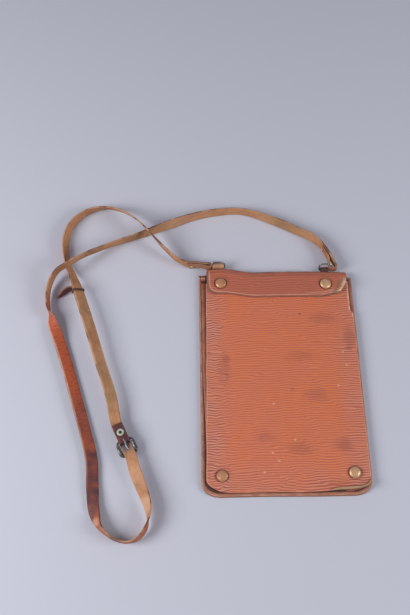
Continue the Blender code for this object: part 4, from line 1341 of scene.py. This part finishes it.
# Where each rivet meets the near and the far layer: x, y
rivetPlaces = {"right": ((65.6, 176.5), (68.2, 176)), "left": ((-104, 156.1), (-104, 158.8))}


def makeRivet(side, sections):
    near, far = (Vector(place) for place in rivetPlaces[side])
    first = min(sections[: len(sections) // 12], key=lambda section: (section[0].xy - near).length)
    second = min(sections[len(sections) // 50 * 2:], key=lambda section: (section[0].xy - far).length)
    axis = first[2]
    apart = (second[0] - first[0]).dot(axis)
    reach = apart / 2 + strapCut["thick"] / 2 + 2 * rivetShape["gap"]
    turn = up.rotation_difference(axis).to_matrix().to_4x4()
    outline = [(rivetShape["head"] + aside, reach + above) for aside, above in rivetShape["dome"]]
    outline.append((rivetShape["shank"], reach))
    outline += [(radius, -height) for radius, height in reversed(outline)]
    mesh = bmesh.new()
    spinProfile(mesh, outline, 24)
    mesh.transform(Matrix.Translation(first[0] + axis * apart / 2) @ turn)
    finishPiece(side + "Rivet", mesh, "tarnishedBrass", ["strap_rivet_" + side])


# Its section: how far along, and how far to the outside of the middle line, both as shares
keeper = {
    "wide": 3, "thick": 1.1, "room": 0.4, "corner": 1.2,
    "section": ((-0.5, 0), (-0.44, 0.5), (0.44, 0.5), (0.5, 0), (0.44, -0.5), (-0.44, -0.5)),
}


def makeKeeper():
    point, across, face, _ = sectionsFrom(shortRows())[keeperRow]
    run = across.cross(face)
    thick = keeper["thick"]
    room = keeper["room"]
    wide = strapCut["wide"] + 2 * room + thick
    tall = strapCut["pair"] + strapCut["thick"] + 2 * room + thick
    loop = roundedLoop(wide, tall, keeper["corner"], keeper["corner"], 5)
    foot = point - face * (strapCut["pair"] + strapCut["thick"] / 2 + room + thick / 2)
    count = len(loop)
    mesh = bmesh.new()
    rings = []
    for shift, inset in keeper["section"]:
        row = []
        for index in range(count):
            here = Vector(loop[index])
            heading = (Vector(loop[(index + 1) % count]) - Vector(loop[index - 1])).normalized()
            spot = here + Vector((heading.y, -heading.x)) * thick * inset
            shifted = foot + across * spot.x + face * spot.y + run * shift * keeper["wide"]
            row.append(mesh.verts.new(shifted))
        rings.append([mesh.edges.new(pair) for pair in zip(row, row[1:] + row[:1])])
    for index, ring in enumerate(rings):
        bmesh.ops.bridge_loops(mesh, edges=ring + rings[(index + 1) % len(rings)])
    finishPiece("strapKeeper", mesh, "dark", ["strap_keeper"])


makeRingsAndChapes()
makeBuckle()
makeEyelet()
makeRivet("right", longSections())
makeRivet("left", shortSections())
makeKeeper()
print("fittings done")


# Floor, lights and camera

studio = {
    "floorSize": 12, "floorLevel": -0.0002, "floorColour": (0.56, 0.56, 0.635), "floorRough": 0.9,
    "floorShine": 0.2, "lampAim": Vector((-0.1, 0, 0)), "left": ((-1.3, -0.3, 0.85), 0.75, 18.6),
    "right": ((1.45, -0.4, 0.85), 0.75, 16), "ambient": (0.62, 0.65, 0.74), "ambientStrength": 0.4,
}


def makeStudio():
    mesh = bmesh.new()
    bmesh.ops.create_grid(mesh, x_segments=1, y_segments=1, size=studio["floorSize"] / 2)
    bmesh.ops.translate(mesh, vec=(0, 0, studio["floorLevel"]), verts=mesh.verts)
    material, tree, _ = startMaterial("paperFloor")
    fillInputs(tree, tree.nodes["Principled BSDF"], {
        "Base Color": (*studio["floorColour"], 1),
        "Roughness": studio["floorRough"],
        "Specular IOR Level": studio["floorShine"],
    })
    floor = addMesh("floor", mesh, material)
    for key in ("left", "right"):
        spot, size, power = studio[key]
        lamp = bpy.data.lights.new(key + "Softbox", "AREA")
        lamp.shape = "SQUARE"
        lamp.size = size
        lamp.energy = power
        lampObject = addObject(key + "Softbox", lamp)
        lampObject.location = spot
        heading = studio["lampAim"] - lampObject.location
        lampObject.rotation_euler = heading.to_track_quat("-Z", "Y").to_euler()
    world = bpy.data.worlds.new("studioWorld")
    world.use_nodes = True
    background = {"Color": (*studio["ambient"], 1), "Strength": studio["ambientStrength"]}
    fillInputs(world.node_tree, world.node_tree.nodes["Background"], background)
    bpy.context.scene.world = world


cameraPlace = {"spot": (-0.0992, -0.3541, 0.9711), "turn": (25.1, 0, -1.35), "lens": 50, "sensor": 36}


def makeCamera():
    data = bpy.data.cameras.new("photoCamera")
    data.lens = cameraPlace["lens"]
    data.sensor_width = cameraPlace["sensor"]
    camera = addObject("photoCamera", data)
    camera.location = cameraPlace["spot"]
    camera.rotation_euler = [radians(angle) for angle in cameraPlace["turn"]]
    bpy.context.scene.camera = camera


makeStudio()
makeCamera()
bpy.context.scene.view_settings.view_transform = "Standard"
print("studio done")
